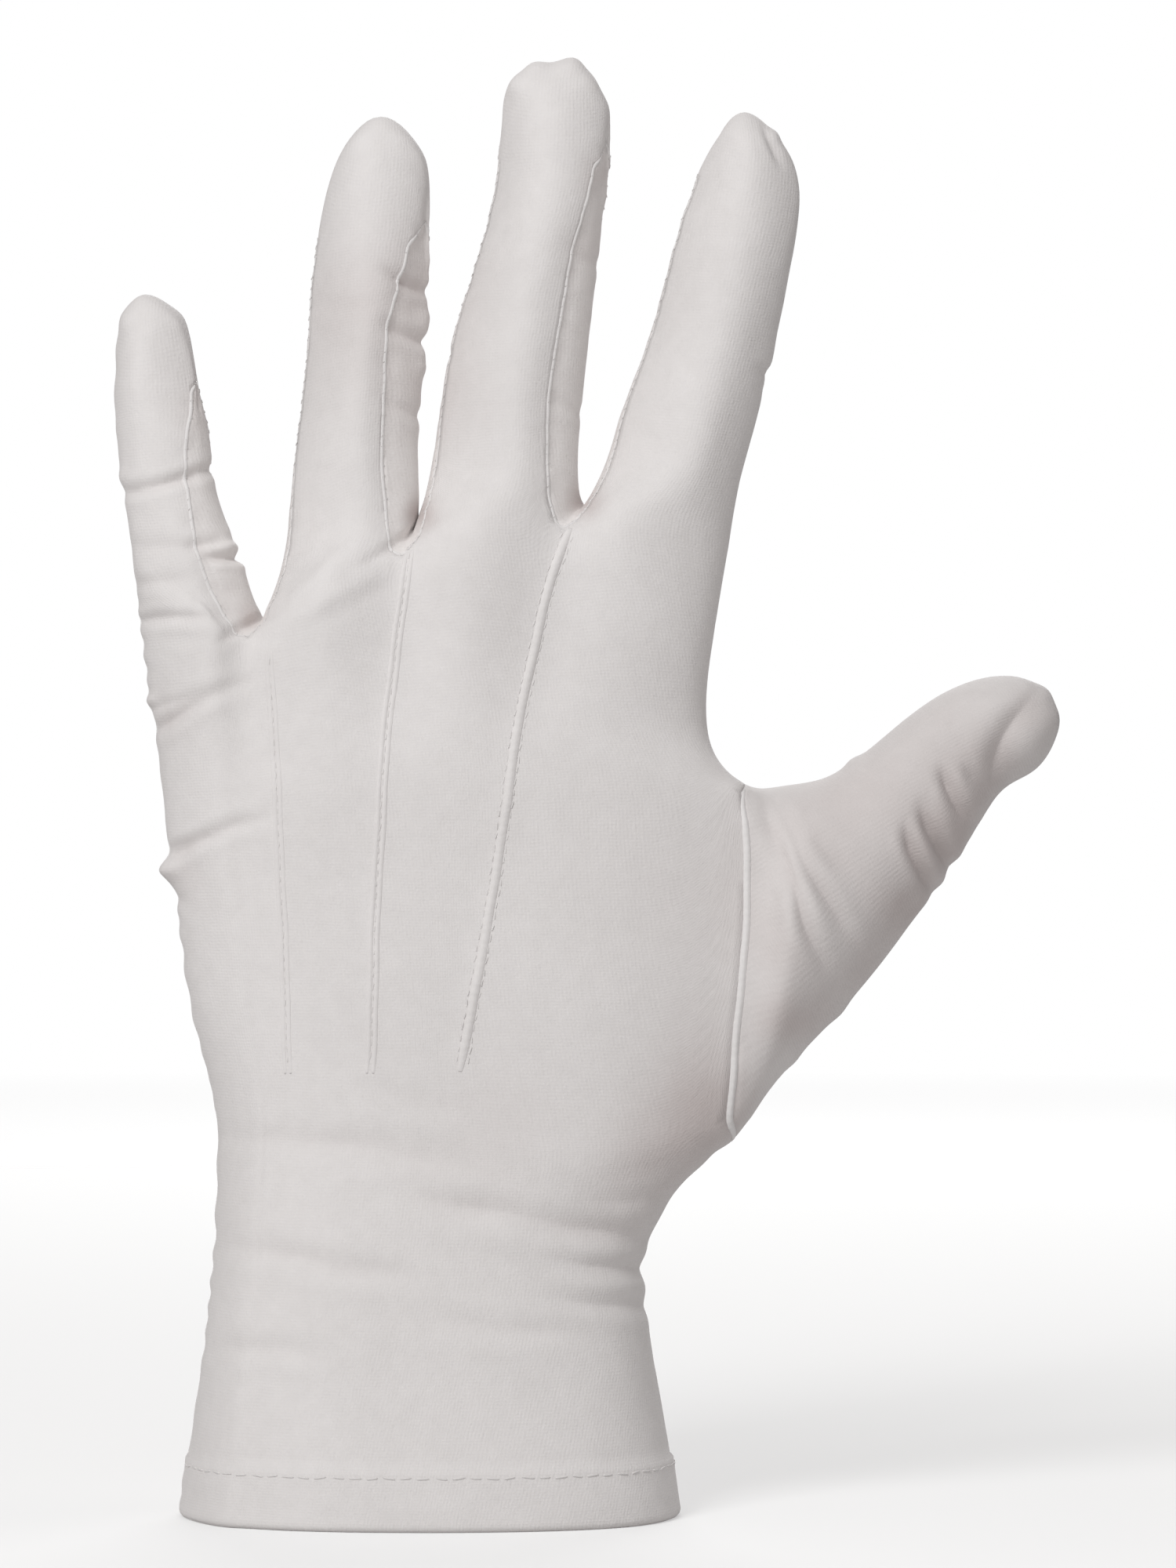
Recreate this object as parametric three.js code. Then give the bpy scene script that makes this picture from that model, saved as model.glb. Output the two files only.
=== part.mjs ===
// A left-hand dress glove of thin white knit, kept in the open shape that it has when it is worn.
// Sizes are in millimetres. X runs towards the thumb, Y towards the palm side, Z up to the fingertips.
// The origin is the middle of the wrist opening, where the hand goes in.
//
// The whole skin is first a coarse net of four-sided faces: rings round the wrist and the hand, a ring
// for each station of a finger, and rings out along the thumb. The net is fitted so that its smooth
// surface passes through every ring point, divided once, and then cut into panels along its seams.

import * as THREE from 'three';

const WALL = 1.2; // thickness of the cloth
const SEAM_SETBACK = 0.25; // each panel stops this far short of the seam line
const HEM_HEIGHT = 9; // the turned hem at the wrist
const HEM_TOP = HEM_HEIGHT + 0.5; // every point of the hem lies below this
const HEM_SWELL = 0.5; // the hem is this much thicker, outside and inside, than the cloth above it
const SECTION_POWER = 2.3; // 2 is an ellipse, more is squarer
const CORNER_REACH = 0.86; // where the back turns into the side, as a share of the half width
const SIDE_Y = 1; // the middle of each side of the hand
const FITTING_ROUNDS = 12;

const CLOTH_COLOUR = '#e9e6e1';
const CLOTH_ROUGHNESS = 0.85;

// The raised points are narrow tucks on the back, from each fork towards the wrist. Seams stand up in
// the same way, a little lower.
const POINT_RIDGE = { halfWidth: 0.8, height: 0.9 };
const SEAM_RIDGE = { halfWidth: 0.6, height: 0.6 };
const POINT_FIRST_ROW = 7; // the ring of the hand at which the points end

// Turns rows of numbers into objects with named columns.
function table(columns, rows) {
  return rows.map((row) => Object.fromEntries(columns.map((name, i) => [name, row[i]])));
}

// The hand, ring by ring, from the wrist opening to the roots of the fingers. leftX and leftZ lie on
// the little finger's side, rightX and rightZ on the thumb's side. seamBackX and seamFrontX are where
// the back and the palm turn into the thumb's side. back and front are depths from the middle plane.
// drop lowers those two turns below the fork of the thumb. rise says how far the ring has taken the
// arched shape of the finger roots.
const HAND = table(
  ['leftX', 'leftZ', 'rightX', 'rightZ', 'seamBackX', 'seamFrontX', 'back', 'front', 'drop', 'rise'],
  [
    [-39.5, 0, 39.5, 0, 34, 34, 25, 25, 0, 0],
    [-38.4, 9, 38.2, 9, 33, 33, 24, 24.5, 0, 0],
    [-36.6, 21, 36, 21, 31, 31, 22.3, 23.3, 0, 0],
    [-35.2, 32, 34.4, 32, 29.6, 29.5, 20.8, 22.3, 0, 0],
    [-34.2, 43, 34.9, 42, 29.8, 29, 19.3, 21.6, 0, 0],
    [-33.8, 54, 41.5, 52.5, 37.5, 33, 18.2, 21.6, 0, 0],
    [-34.2, 65, 49.3, 60.5, 47, 39, 17.2, 21.5, 0, 0],
    [-37.6, 78, 56, 74, 49, 36.5, 16.5, 20.5, 0, 0],
    [-39.6, 90.5, 58, 87.5, 49.9, 35.5, 16, 19, 0, 0],
    [-41.2, 102.5, 57, 101, 50.4, 37, 15.5, 17.5, 0, 0],
    [-42.2, 112, 52, 114.7, 48.6, 43, 15, 16, 2.5, 0.245],
    [-43.2, 120.5, 44.3, 123.5, 40.8, 40, 14.3, 15, 0, 0.45],
    [-44.6, 130, 44.9, 137, 41.2, 41, 13.8, 14.2, 0, 0.72],
    [-46, 140, 47.2, 151.5, 43.8, 43.8, 13.2, 13.5, 0, 1],
  ],
);
const THUMB_FIRST_ROW = 6; // the thumb's opening lies between these two rings
const THUMB_LAST_ROW = 10;

// The lines that run down from the three forks, which the raised points follow.
const FORK_LINES = table(
  ['topX', 'topZ', 'wristX', 'wristZ', 'frontShift'],
  [
    [-27.6, 139, -22.6, 69.3, 6],
    [-4, 152, -9.5, 69.3, 5],
    [22, 156.3, 4.9, 69.3, 5],
  ],
);
const ROOT_ARCH = [0, 0, -3.6, 4.3, 6.2, 10, 7.4, 6.5, 1.5]; // rise of the finger roots, column by column
const ROOT_RISE = 6; // rise of the finger roots at the fork lines
const FORK_DIP = 0.3; // the cloth sinks in at the forks by this share of the depth

// The middle of each fork, halfway between back and palm.
const FORKS = table(
  ['x', 'y', 'z'],
  [
    [-26.3, 0.5, 141.6],
    [-1.8, 0.5, 156.3],
    [24.8, 0.5, 159.6],
  ],
);

// Each finger, ring by ring from its root. depth is measured from back to palm side, y is where the
// middle of the ring lies, roll turns its back towards the little finger's side, and web is the angle
// between the middle of a side and the seam that bounds it.
const FINGER_COLUMNS = ['leftX', 'leftZ', 'rightX', 'rightZ', 'depth', 'y', 'roll', 'web'];
const FINGERS = [
  {
    name: 'little',
    tip: [-45.3, 5, 193.7],
    rings: table(FINGER_COLUMNS, [
      [-46.8, 146, -29, 148, 15.6, 0.8, 12, 53],
      [-47.9, 154.5, -31.6, 155, 15, 1.4, 19, 46],
      [-49, 163, -34.3, 163.4, 14.2, 2.2, 23, 38],
      [-50.1, 173, -36.3, 173.6, 13.4, 3.2, 23, 29],
      [-50.3, 182.3, -37.8, 182.8, 12.4, 4.2, 22, 18],
      [-49.3, 188.3, -39.6, 189.2, 10, 4.8, 20, 32],
    ]),
  },
  {
    name: 'ring',
    tip: [-7.9, 6.5, 222.6],
    rings: table(FINGER_COLUMNS, [
      [-23.5, 150, -1.6, 161, 18.2, 0.8, 8, 50],
      [-22, 162.5, -2, 169, 17.8, 1.8, 13, 46],
      [-20.7, 175.5, -1.6, 179, 16.8, 2.6, 16, 40],
      [-19.4, 189, -0.7, 191, 16.2, 3.8, 16, 31],
      [-17.9, 204, -0.3, 204.5, 15, 5, 16, 18],
      [-15, 215, -0.8, 215, 12.6, 6, 14, 32],
    ]),
  },
  {
    name: 'middle',
    tip: [20.6, 7, 231.2],
    rings: table(FINGER_COLUMNS, [
      [0.2, 163.5, 23.7, 166, 20, 0.8, 6, 49],
      [2, 175.5, 24.2, 176.5, 20, 2.1, 10, 45],
      [4, 188.5, 25.4, 188.5, 18.8, 2.9, 13, 40],
      [8.1, 202, 26.9, 201.5, 17.4, 4, 13, 31],
      [10.8, 214.5, 28.4, 213.5, 16.2, 5.4, 13, 18],
      [12.2, 226, 27.9, 225, 13, 6.6, 11, 34],
    ]),
  },
  {
    name: 'index',
    tip: [50.3, 4.5, 223],
    rings: table(FINGER_COLUMNS, [
      [28, 165.5, 49.4, 163.5, 19.6, 0.6, 4, 48],
      [31.4, 176, 52.1, 174, 18.8, 1, 6, 44],
      [35.3, 187.5, 55, 186, 17.8, 1.6, 7, 39],
      [38.7, 200.5, 57.6, 198.5, 16.8, 2.4, 7, 31],
      [42.5, 211.8, 58.7, 210, 15.2, 3.4, 7, 18],
      [46, 218.8, 56.6, 217.2, 12, 4.2, 6, 30],
    ]),
  },
];
const FOURCHETTE_RINGS = 5; // a fourchette ends at this ring of each finger

// The thumb, ring by ring from the palm. top lies towards the index finger, bottom towards the wrist.
// Over its end runs a ridge of three points, the middle one at the tip.
const THUMB_TIP = [100.8, 11, 126.6];
const THUMB_RIDGE_STEP = 0.27; // from point to point, as a share of the last ring's width
const THUMB_RIDGE_FALL = 1.6; // the outer two lie this far behind the tip
const THUMB = table(
  ['topX', 'topZ', 'bottomX', 'bottomZ', 'depth', 'y'],
  [
    [57.5, 115.3, 56.5, 69.5, 35, 4],
    [63.5, 116.6, 66.5, 80.2, 31, 5],
    [69.8, 120.7, 76.5, 92.8, 27, 6.5],
    [76.6, 126.3, 84.8, 104, 23, 8],
    [85.2, 131.4, 91, 113.6, 20, 9.5],
    [93.6, 132.7, 96.8, 117.8, 16.5, 10.5],
  ],
);

// Folds are valleys along a straight line over the cloth, and a negative depth makes a ridge. side is
// -1 on the back, 1 on the palm side and 0 right round.
const FOLD_WRAP = 0.4; // how far a fold of one side reaches round the edge
const FOLDS = table(
  ['x1', 'z1', 'x2', 'z2', 'depth', 'width', 'side'],
  [
    [-50, 163, -36, 164.2, 0.8, 3, 0],
    [-48.5, 153.4, -36, 155, 0.7, 3, 0],
    [-47.5, 145.4, -34, 147.6, 0.9, 3, 0],
    [-46, 126, -28, 135.8, 0.9, 3.5, -1],
    [-43.5, 103, -25, 112, 1, 4, -1],
    [-44, 101.6, -41.5, 100.8, -1.6, 3, 0],
    [-2, 153.6, -22, 144.2, 0.7, 4, -1],
    [54.5, 108, 63.5, 94.5, 0.8, 3.5, -1],
    [58, 106, 66, 98, 0.6, 3, -1],
    [79, 101.5, 83.5, 109, 0.9, 3, -1],
    [90.5, 115.5, 96.3, 126.3, 0.9, 3, -1],
    [-34, 60.5, -10, 57, 1, 4, -1],
    [-10, 57, 32, 55, 0.6, 4, -1],
    [8, 46, 34, 43, 1.1, 4, 0],
    [-34, 44, 0, 38, 0.7, 5, 0],
    [2, 148, 26, 150, 0.7, 5, 1],
    [-30, 128, 34, 122, 0.8, 6, 1],
    [34, 62, 6, 118, 0.8, 7, 1],
  ],
);

const BACK_COLUMNS = 9; // from the little finger's side to the thumb's side, two steps to a finger
const FORK_COLUMNS = [2, 4, 6];
const LAST_ROW = HAND.length - 1;

const radians = THREE.MathUtils.degToRad;
const lerp = THREE.MathUtils.lerp;

// The net: points, four-sided faces and the panel that each face belongs to.
const net = { points: [], faces: [], panels: [] };

function addPoint(x, y, z) {
  net.points.push(new THREE.Vector3(x, y, z));
  return net.points.length - 1;
}

function addFace(a, b, c, d, panel) {
  net.faces.push([a, b, c, d]);
  net.panels.push(panel);
}

// Depth of a rounded section at x, as a share of its full depth.
function sectionDepth(x, left, right) {
  const across = Math.abs(x - (left + right) / 2) / ((right - left) / 2);
  return Math.max(0, 1 - across ** SECTION_POWER) ** (1 / SECTION_POWER);
}

// X of the fork lines at height z, on the back or on the palm side.
function forkLineX(line, z, front, rise) {
  const along = Math.max(0, (z - line.wristZ) / (line.topZ - line.wristZ));
  return lerp(line.wristX, line.topX, along) + (front ? line.frontShift * rise : 0);
}

// The nine column positions across the back or the palm side of one ring of the hand.
function columnXs(ring, front) {
  const middle = (ring.leftX + ring.rightX) / 2;
  const cornerX = lerp(middle, ring.leftX, CORNER_REACH);
  const height = (ring.leftZ + ring.rightZ) / 2;
  const rootHeight = height + ROOT_RISE * ring.rise;
  const forks = FORK_LINES.map((line) => forkLineX(line, rootHeight, front, ring.rise));
  const marks = [cornerX, ...forks, front ? ring.seamFrontX : ring.seamBackX];
  const xs = [];
  for (let i = 0; i < marks.length - 1; i += 1) {
    xs.push(marks[i], (marks[i] + marks[i + 1]) / 2);
  }
  xs.push(marks[marks.length - 1]);
  return xs;
}

function addHandSide(ring, front) {
  return columnXs(ring, front).map((x, column) => {
    const across = (x - ring.leftX) / (ring.rightX - ring.leftX);
    const drop = column === BACK_COLUMNS - 1 ? ring.drop : 0;
    const z = lerp(ring.leftZ, ring.rightZ, across) + ROOT_ARCH[column] * ring.rise - drop;
    const dip = FORK_COLUMNS.includes(column) ? 1 - FORK_DIP * ring.rise ** 2 : 1;
    const depth = sectionDepth(x, ring.leftX, ring.rightX) * dip;
    return addPoint(x, front ? ring.front * depth : -ring.back * depth, z);
  });
}

// Each ring of the hand: the back from left to right, one point on the thumb's side, the palm side,
// and one point on the little finger's side. Within the thumb's opening the side point is left out.
const hand = HAND.map((ring, row) => {
  const inOpening = row > THUMB_FIRST_ROW && row < THUMB_LAST_ROW;
  return {
    back: addHandSide(ring, false),
    right: inOpening ? null : addPoint(ring.rightX, SIDE_Y, ring.rightZ),
    front: addHandSide(ring, true),
    left: addPoint(ring.leftX, SIDE_Y, ring.leftZ),
  };
});

function handLoop(row) {
  const ring = hand[row];
  return [...ring.back, ring.right, ...[...ring.front].reverse(), ring.left];
}

for (let row = 0; row < LAST_ROW; row += 1) {
  const lower = handLoop(row);
  const upper = handLoop(row + 1);
  for (let i = 0; i < lower.length; i += 1) {
    const j = (i + 1) % lower.length;
    const onThumbSide = i === BACK_COLUMNS - 1 || i === BACK_COLUMNS;
    if (onThumbSide && row >= THUMB_FIRST_ROW && row < THUMB_LAST_ROW) {
      continue;
    }
    addFace(lower[i], lower[j], upper[j], upper[i], 'trank');
  }
}

// A closed loop of points round a rolled oval. Angles run from the right side over the back.
function addOval(left, right, depth, y, roll, angles) {
  const centre = new THREE.Vector3((left[0] + right[0]) / 2, y, (left[1] + right[1]) / 2);
  const across = new THREE.Vector3(right[0] - left[0], 0, right[1] - left[1]);
  const halfWidth = across.length() / 2;
  across.normalize();
  const outward = new THREE.Vector3(0, -1, 0);
  const side = across.clone().multiplyScalar(Math.cos(roll)).addScaledVector(outward, Math.sin(roll));
  const back = outward.clone().multiplyScalar(Math.cos(roll)).addScaledVector(across, -Math.sin(roll));
  return angles.map((angle) => {
    const point = centre.clone();
    point.addScaledVector(side, halfWidth * Math.cos(angle));
    point.addScaledVector(back, (depth / 2) * Math.sin(angle));
    return addPoint(point.x, point.y, point.z);
  });
}

const forkPoints = FORKS.map((fork) => addPoint(fork.x, fork.y, fork.z));
const fourchetteNames = FINGERS.slice(1).map((finger, i) => `fourchette_${FINGERS[i].name}_${finger.name}`);

// A finger's loop has eight points: three on the back, one on the right, three on the palm side and
// one on the left. Its first loop is made of points of the hand's last ring and the forks.
const fingerLoops = FINGERS.map((finger, index) => {
  const roots = hand[LAST_ROW];
  const column = index * 2;
  const first = [
    roots.back[column],
    roots.back[column + 1],
    roots.back[column + 2],
    index < FORKS.length ? forkPoints[index] : roots.right,
    roots.front[column + 2],
    roots.front[column + 1],
    roots.front[column],
    index > 0 ? forkPoints[index - 1] : roots.left,
  ];
  const loops = finger.rings.map((ring) => {
    const angles = [180 - ring.web, 90, ring.web, 0, -ring.web, -90, ring.web - 180, 180].map(radians);
    const left = [ring.leftX, ring.leftZ];
    const right = [ring.rightX, ring.rightZ];
    return addOval(left, right, ring.depth, ring.y, radians(ring.roll), angles);
  });
  [first, ...loops].forEach((lower, row, all) => {
    const upper = all[row + 1];
    if (!upper) {
      return;
    }
    for (let i = 0; i < lower.length; i += 1) {
      const j = (i + 1) % lower.length;
      const rightWeb = i === 2 || i === 3;
      const leftWeb = i === 6 || i === 7;
      let panel = 'trank';
      if (row < FOURCHETTE_RINGS && rightWeb && index < FORKS.length) {
        panel = fourchetteNames[index];
      }
      if (row < FOURCHETTE_RINGS && leftWeb && index > 0) {
        panel = fourchetteNames[index - 1];
      }
      addFace(lower[i], lower[j], upper[j], upper[i], panel);
    }
  });
  const last = loops[loops.length - 1];
  const tip = addPoint(...finger.tip);
  addFace(last[0], last[1], tip, last[7], 'trank');
  addFace(last[1], last[2], last[3], tip, 'trank');
  addFace(tip, last[3], last[4], last[5], 'trank');
  addFace(last[7], tip, last[5], last[6], 'trank');
  return loops;
});

// The thumb's loop has twelve points: down its back, round its lower side, up its palm side and over
// its upper side. Its first loop is the edge of the opening in the hand.
const openingRows = [];
for (let row = THUMB_FIRST_ROW; row <= THUMB_LAST_ROW; row += 1) {
  openingRows.push(row);
}
const lastColumn = BACK_COLUMNS - 1;
const thumbFirst = [
  ...openingRows.map((row) => hand[row].back[lastColumn]).reverse(),
  hand[THUMB_FIRST_ROW].right,
  ...openingRows.map((row) => hand[row].front[lastColumn]),
  hand[THUMB_LAST_ROW].right,
];
const thumbAngles = thumbFirst.map((_, i) => radians(150 - (360 / thumbFirst.length) * i));
const thumbLoops = THUMB.map((ring) => {
  const top = [ring.topX, ring.topZ];
  const bottom = [ring.bottomX, ring.bottomZ];
  return addOval(top, bottom, ring.depth, ring.y, 0, thumbAngles);
});
[thumbFirst, ...thumbLoops].forEach((inner, row, all) => {
  const outer = all[row + 1];
  if (!outer) {
    return;
  }
  for (let i = 0; i < inner.length; i += 1) {
    const j = (i + 1) % inner.length;
    addFace(inner[i], inner[j], outer[j], outer[i], 'thumb');
  }
});

// The end of the thumb is closed by two rows of four faces over three middle points.
const thumbEnd = thumbLoops[thumbLoops.length - 1];
const thumbEndRing = THUMB[THUMB.length - 1];
const endWidth = new THREE.Vector3(
  thumbEndRing.bottomX - thumbEndRing.topX,
  0,
  thumbEndRing.bottomZ - thumbEndRing.topZ,
);
const thumbTip = new THREE.Vector3(...THUMB_TIP);
const endAxis = new THREE.Vector3(-endWidth.z, 0, endWidth.x).normalize();
const thumbRidge = [-1, 0, 1].map((step) => {
  const point = thumbTip.clone().addScaledVector(endWidth, step * THUMB_RIDGE_STEP);
  point.addScaledVector(endAxis, -Math.abs(step) * THUMB_RIDGE_FALL);
  return addPoint(point.x, point.y, point.z);
});
const ridgeLine = [thumbEnd[11], ...thumbRidge, thumbEnd[5]];
for (let i = 0; i < 4; i += 1) {
  addFace(thumbEnd[i], thumbEnd[i + 1], ridgeLine[i + 1], ridgeLine[i], 'thumb');
  addFace(ridgeLine[i], ridgeLine[i + 1], thumbEnd[9 - i], thumbEnd[10 - i], 'thumb');
}

function edgeKey(a, b) {
  return a < b ? `${a} ${b}` : `${b} ${a}`;
}

// For each point of a net: its faces, its neighbours along edges, the points across its faces and, on
// the open edge of the wrist, its two neighbours along that edge.
function connections(mesh) {
  const around = mesh.points.map(() => ({ faces: [], edges: new Set(), corners: [], rim: [] }));
  const edges = new Map();
  mesh.faces.forEach((face, f) => {
    face.forEach((a, i) => {
      const b = face[(i + 1) % 4];
      around[a].faces.push(f);
      around[a].edges.add(b);
      around[b].edges.add(a);
      around[a].corners.push(face[(i + 2) % 4]);
      const key = edgeKey(a, b);
      if (!edges.has(key)) {
        edges.set(key, { a, b, faces: [] });
      }
      edges.get(key).faces.push(f);
    });
  });
  edges.forEach((edge) => {
    if (edge.faces.length === 1) {
      around[edge.a].rim.push(edge.b);
      around[edge.b].rim.push(edge.a);
    }
  });
  return { around, edges };
}

function mean(points) {
  const sum = new THREE.Vector3();
  points.forEach((point) => sum.add(point));
  return sum.divideScalar(points.length);
}

// Where each point of the net ends up on the smooth surface that the net stands for.
function smoothPoints(mesh, links) {
  return mesh.points.map((point, i) => {
    const { edges, corners, rim } = links.around[i];
    if (rim.length === 2) {
      return mean(rim.map((k) => mesh.points[k])).multiplyScalar(1 / 3).addScaledVector(point, 2 / 3);
    }
    const n = edges.size;
    const smooth = point.clone().multiplyScalar(n * n);
    edges.forEach((k) => smooth.addScaledVector(mesh.points[k], 4));
    corners.forEach((k) => smooth.add(mesh.points[k]));
    return smooth.divideScalar(n * (n + 5));
  });
}

// Moves the net's points until its smooth surface passes through the places that the tables give.
function fit(mesh) {
  const targets = mesh.points.map((point) => point.clone());
  const links = connections(mesh);
  for (let round = 0; round < FITTING_ROUNDS; round += 1) {
    const smooth = smoothPoints(mesh, links);
    mesh.points.forEach((point, i) => point.add(targets[i]).sub(smooth[i]));
  }
}

// One step of smooth division: each face becomes four. Points keep their numbers, and middles maps an
// edge of the old net to the new point on it.
function divide(mesh) {
  const { around, edges } = connections(mesh);
  const centres = mesh.faces.map((face) => mean(face.map((k) => mesh.points[k])));
  const points = mesh.points.map((point, i) => {
    const { faces, edges: neighbours, rim } = around[i];
    if (rim.length === 2) {
      return mean(rim.map((k) => mesh.points[k])).multiplyScalar(0.25).addScaledVector(point, 0.75);
    }
    const n = neighbours.size;
    const moved = mean(faces.map((f) => centres[f]));
    const middle = mean([...neighbours].map((k) => mesh.points[k])).add(point);
    return moved.add(middle).addScaledVector(point, n - 3).divideScalar(n);
  });
  const middles = new Map();
  edges.forEach((edge, key) => {
    const ends = [mesh.points[edge.a], mesh.points[edge.b]];
    const inside = edge.faces.length === 2 ? edge.faces.map((f) => centres[f]) : [];
    middles.set(key, points.length);
    points.push(mean([...ends, ...inside]));
  });
  const faces = [];
  const panels = [];
  mesh.faces.forEach((face, f) => {
    const centre = points.length;
    points.push(centres[f]);
    face.forEach((a, i) => {
      const next = middles.get(edgeKey(a, face[(i + 1) % 4]));
      const previous = middles.get(edgeKey(a, face[(i + 3) % 4]));
      faces.push([a, next, centre, previous]);
      panels.push(mesh.panels[f]);
    });
  });
  return { points, faces, panels, middles };
}

function faceNormal(points, face) {
  const [a, b, c, d] = face.map((k) => points[k]);
  return new THREE.Vector3().crossVectors(c.clone().sub(a), d.clone().sub(b));
}

function pointNormals(mesh) {
  const normals = mesh.points.map(() => new THREE.Vector3());
  mesh.faces.forEach((face) => {
    const normal = faceNormal(mesh.points, face);
    face.forEach((k) => normals[k].add(normal));
  });
  return normals.map((normal) => normal.normalize());
}

// Distance in the XZ plane from a point to the line of a fold.
function foldDistance(point, fold) {
  const start = new THREE.Vector2(fold.x1, fold.z1);
  const along = new THREE.Vector2(fold.x2, fold.z2).sub(start);
  const offset = new THREE.Vector2(point.x, point.z).sub(start);
  const share = THREE.MathUtils.clamp(offset.dot(along) / along.lengthSq(), 0, 1);
  return offset.addScaledVector(along, -share).length();
}

function pressFolds(mesh) {
  const normals = pointNormals(mesh);
  mesh.points.forEach((point, i) => {
    let height = point.z < HEM_TOP ? HEM_SWELL : 0;
    FOLDS.forEach((fold) => {
      const towardsSide = THREE.MathUtils.clamp(FOLD_WRAP + fold.side * normals[i].y, 0, 1);
      const facing = fold.side === 0 ? 1 : towardsSide;
      height -= fold.depth * facing * Math.exp(-((foldDistance(point, fold) / fold.width) ** 2));
    });
    point.addScaledVector(normals[i], height);
  });
}

fit(net);
const skin = divide(net);
skin.points = smoothPoints(skin, connections(skin));
pressFolds(skin);
const skinNormals = pointNormals(skin);

// The edge of a panel: each point on it, with its neighbours before and after it.
function panelEdges(faces) {
  const directed = new Map();
  faces.forEach((face) => {
    face.forEach((a, i) => directed.set(`${a} ${face[(i + 1) % 4]}`, [a, face[(i + 1) % 4]]));
  });
  return [...directed.values()].filter(([a, b]) => !directed.has(`${b} ${a}`));
}

// How far and which way each point on a panel's seam edge is set back into the panel.
function setbacks(faces, edges) {
  const moves = new Map();
  edges.forEach(([a, b]) => {
    [a, b].forEach((k) => moves.set(k, { inward: new THREE.Vector3(), along: new THREE.Vector3() }));
  });
  edges.forEach(([a, b]) => {
    const step = skin.points[b].clone().sub(skin.points[a]).normalize();
    moves.get(a).along.add(step);
    moves.get(b).along.add(step);
  });
  faces.forEach((face) => {
    const centre = mean(face.map((k) => skin.points[k]));
    face.filter((k) => moves.has(k)).forEach((k) => {
      moves.get(k).inward.add(centre.clone().sub(skin.points[k]).normalize());
    });
  });
  moves.forEach((move) => {
    const along = move.along.normalize();
    move.inward.addScaledVector(along, -move.inward.dot(along)).normalize();
  });
  return moves;
}

// The direction to the right of a path, seen from outside, at its point i.
function rightOfPath(numbers, i) {
  const along = skin.points[numbers[i + 1]].clone().sub(skin.points[numbers[i - 1]]);
  return along.cross(skinNormals[numbers[i]]).normalize();
}

// A path along a seam edge runs with its panel on the right.
function turnPath(path, moves) {
  const i = Math.floor(path.numbers.length / 4);
  const move = moves.get(path.numbers[i]);
  const onLeft = move && move.inward.dot(rightOfPath(path.numbers, i)) < 0;
  return onLeft ? { ...path, numbers: [...path.numbers].reverse() } : path;
}

// Ridges on a panel. For each point on a ridge it gives the two feet and the crest, and a test for the
// side that a face lies on. Along a seam edge the ridge lies inside the edge, which is then one foot.
function ridgePoints(paths, moves, place) {
  const ridges = new Map();
  paths.forEach(({ numbers, halfWidth, height }) => {
    numbers.slice(1, -1).forEach((k, i) => {
      const point = place(k);
      const across = rightOfPath(numbers, i + 1);
      const onEdge = moves.has(k);
      if (onEdge) {
        across.copy(moves.get(k).inward);
      }
      const centre = point.clone().addScaledVector(across, onEdge ? halfWidth : 0);
      ridges.set(k, {
        near: onEdge ? point : centre.clone().addScaledVector(across, -halfWidth),
        far: centre.clone().addScaledVector(across, halfWidth),
        crest: centre.clone().addScaledVector(skinNormals[k], height),
        isFar: (facePoint) => onEdge || facePoint.clone().sub(point).dot(across) > 0,
      });
    });
  });
  return ridges;
}

// A panel of cloth as a closed solid: its outer face, its inner face one wall further in, the cut edge
// between them, and the ridges that stand on its outer face. The wrist edge isn't a seam, so it isn't
// set back.
function panelSolid(panel, ridgePaths) {
  const faces = skin.faces.filter((_, f) => skin.panels[f] === panel);
  const edges = panelEdges(faces);
  const moves = setbacks(faces, edges);
  const place = (k) => {
    const point = skin.points[k].clone();
    if (moves.has(k) && point.z > HEM_TOP) {
      point.addScaledVector(moves.get(k).inward, SEAM_SETBACK);
    }
    return point;
  };
  const paths = ridgePaths.map((path) => turnPath(path, moves));
  const ridges = ridgePoints(paths, moves, place);
  const points = [];
  const numbers = new Map();
  const number = (key, make) => {
    if (!numbers.has(key)) {
      numbers.set(key, points.length);
      points.push(make());
    }
    return numbers.get(key);
  };
  const plain = (k) => number(`${k}`, () => place(k));
  const part = (k, name) => (ridges.has(k) ? number(`${k} ${name}`, () => ridges.get(k)[name]) : plain(k));
  const inner = (k) => number(`${k} inner`, () => {
    const point = place(k);
    const thickness = WALL + (point.z < HEM_TOP ? HEM_SWELL : 0);
    return point.addScaledVector(skinNormals[k], -thickness);
  });
  const triangles = [];
  const addQuad = (quad) => {
    const [a, b, c, d] = quad.map((k) => points[k]);
    const shortFirst = a.distanceTo(c) <= b.distanceTo(d);
    const pair = shortFirst ? [[0, 1, 2], [0, 2, 3]] : [[0, 1, 3], [1, 2, 3]];
    pair.map((corners) => corners.map((i) => quad[i])).forEach((triangle) => {
      if (new Set(triangle).size === 3) {
        triangles.push(triangle);
      }
    });
  };
  faces.forEach((face) => {
    const centre = mean(face.map((k) => skin.points[k]));
    addQuad(face.map((k) => part(k, ridges.has(k) && ridges.get(k).isFar(centre) ? 'far' : 'near')));
    addQuad([...face].reverse().map(inner));
  });
  edges.forEach(([a, b]) => addQuad([part(b, 'near'), part(a, 'near'), inner(a), inner(b)]));
  paths.forEach((path) => {
    for (let i = 0; i < path.numbers.length - 1; i += 1) {
      const a = path.numbers[i];
      const b = path.numbers[i + 1];
      addQuad([part(b, 'near'), part(a, 'near'), part(a, 'crest'), part(b, 'crest')]);
      addQuad([part(b, 'crest'), part(a, 'crest'), part(a, 'far'), part(b, 'far')]);
    }
  });
  return { points, triangles };
}

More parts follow.
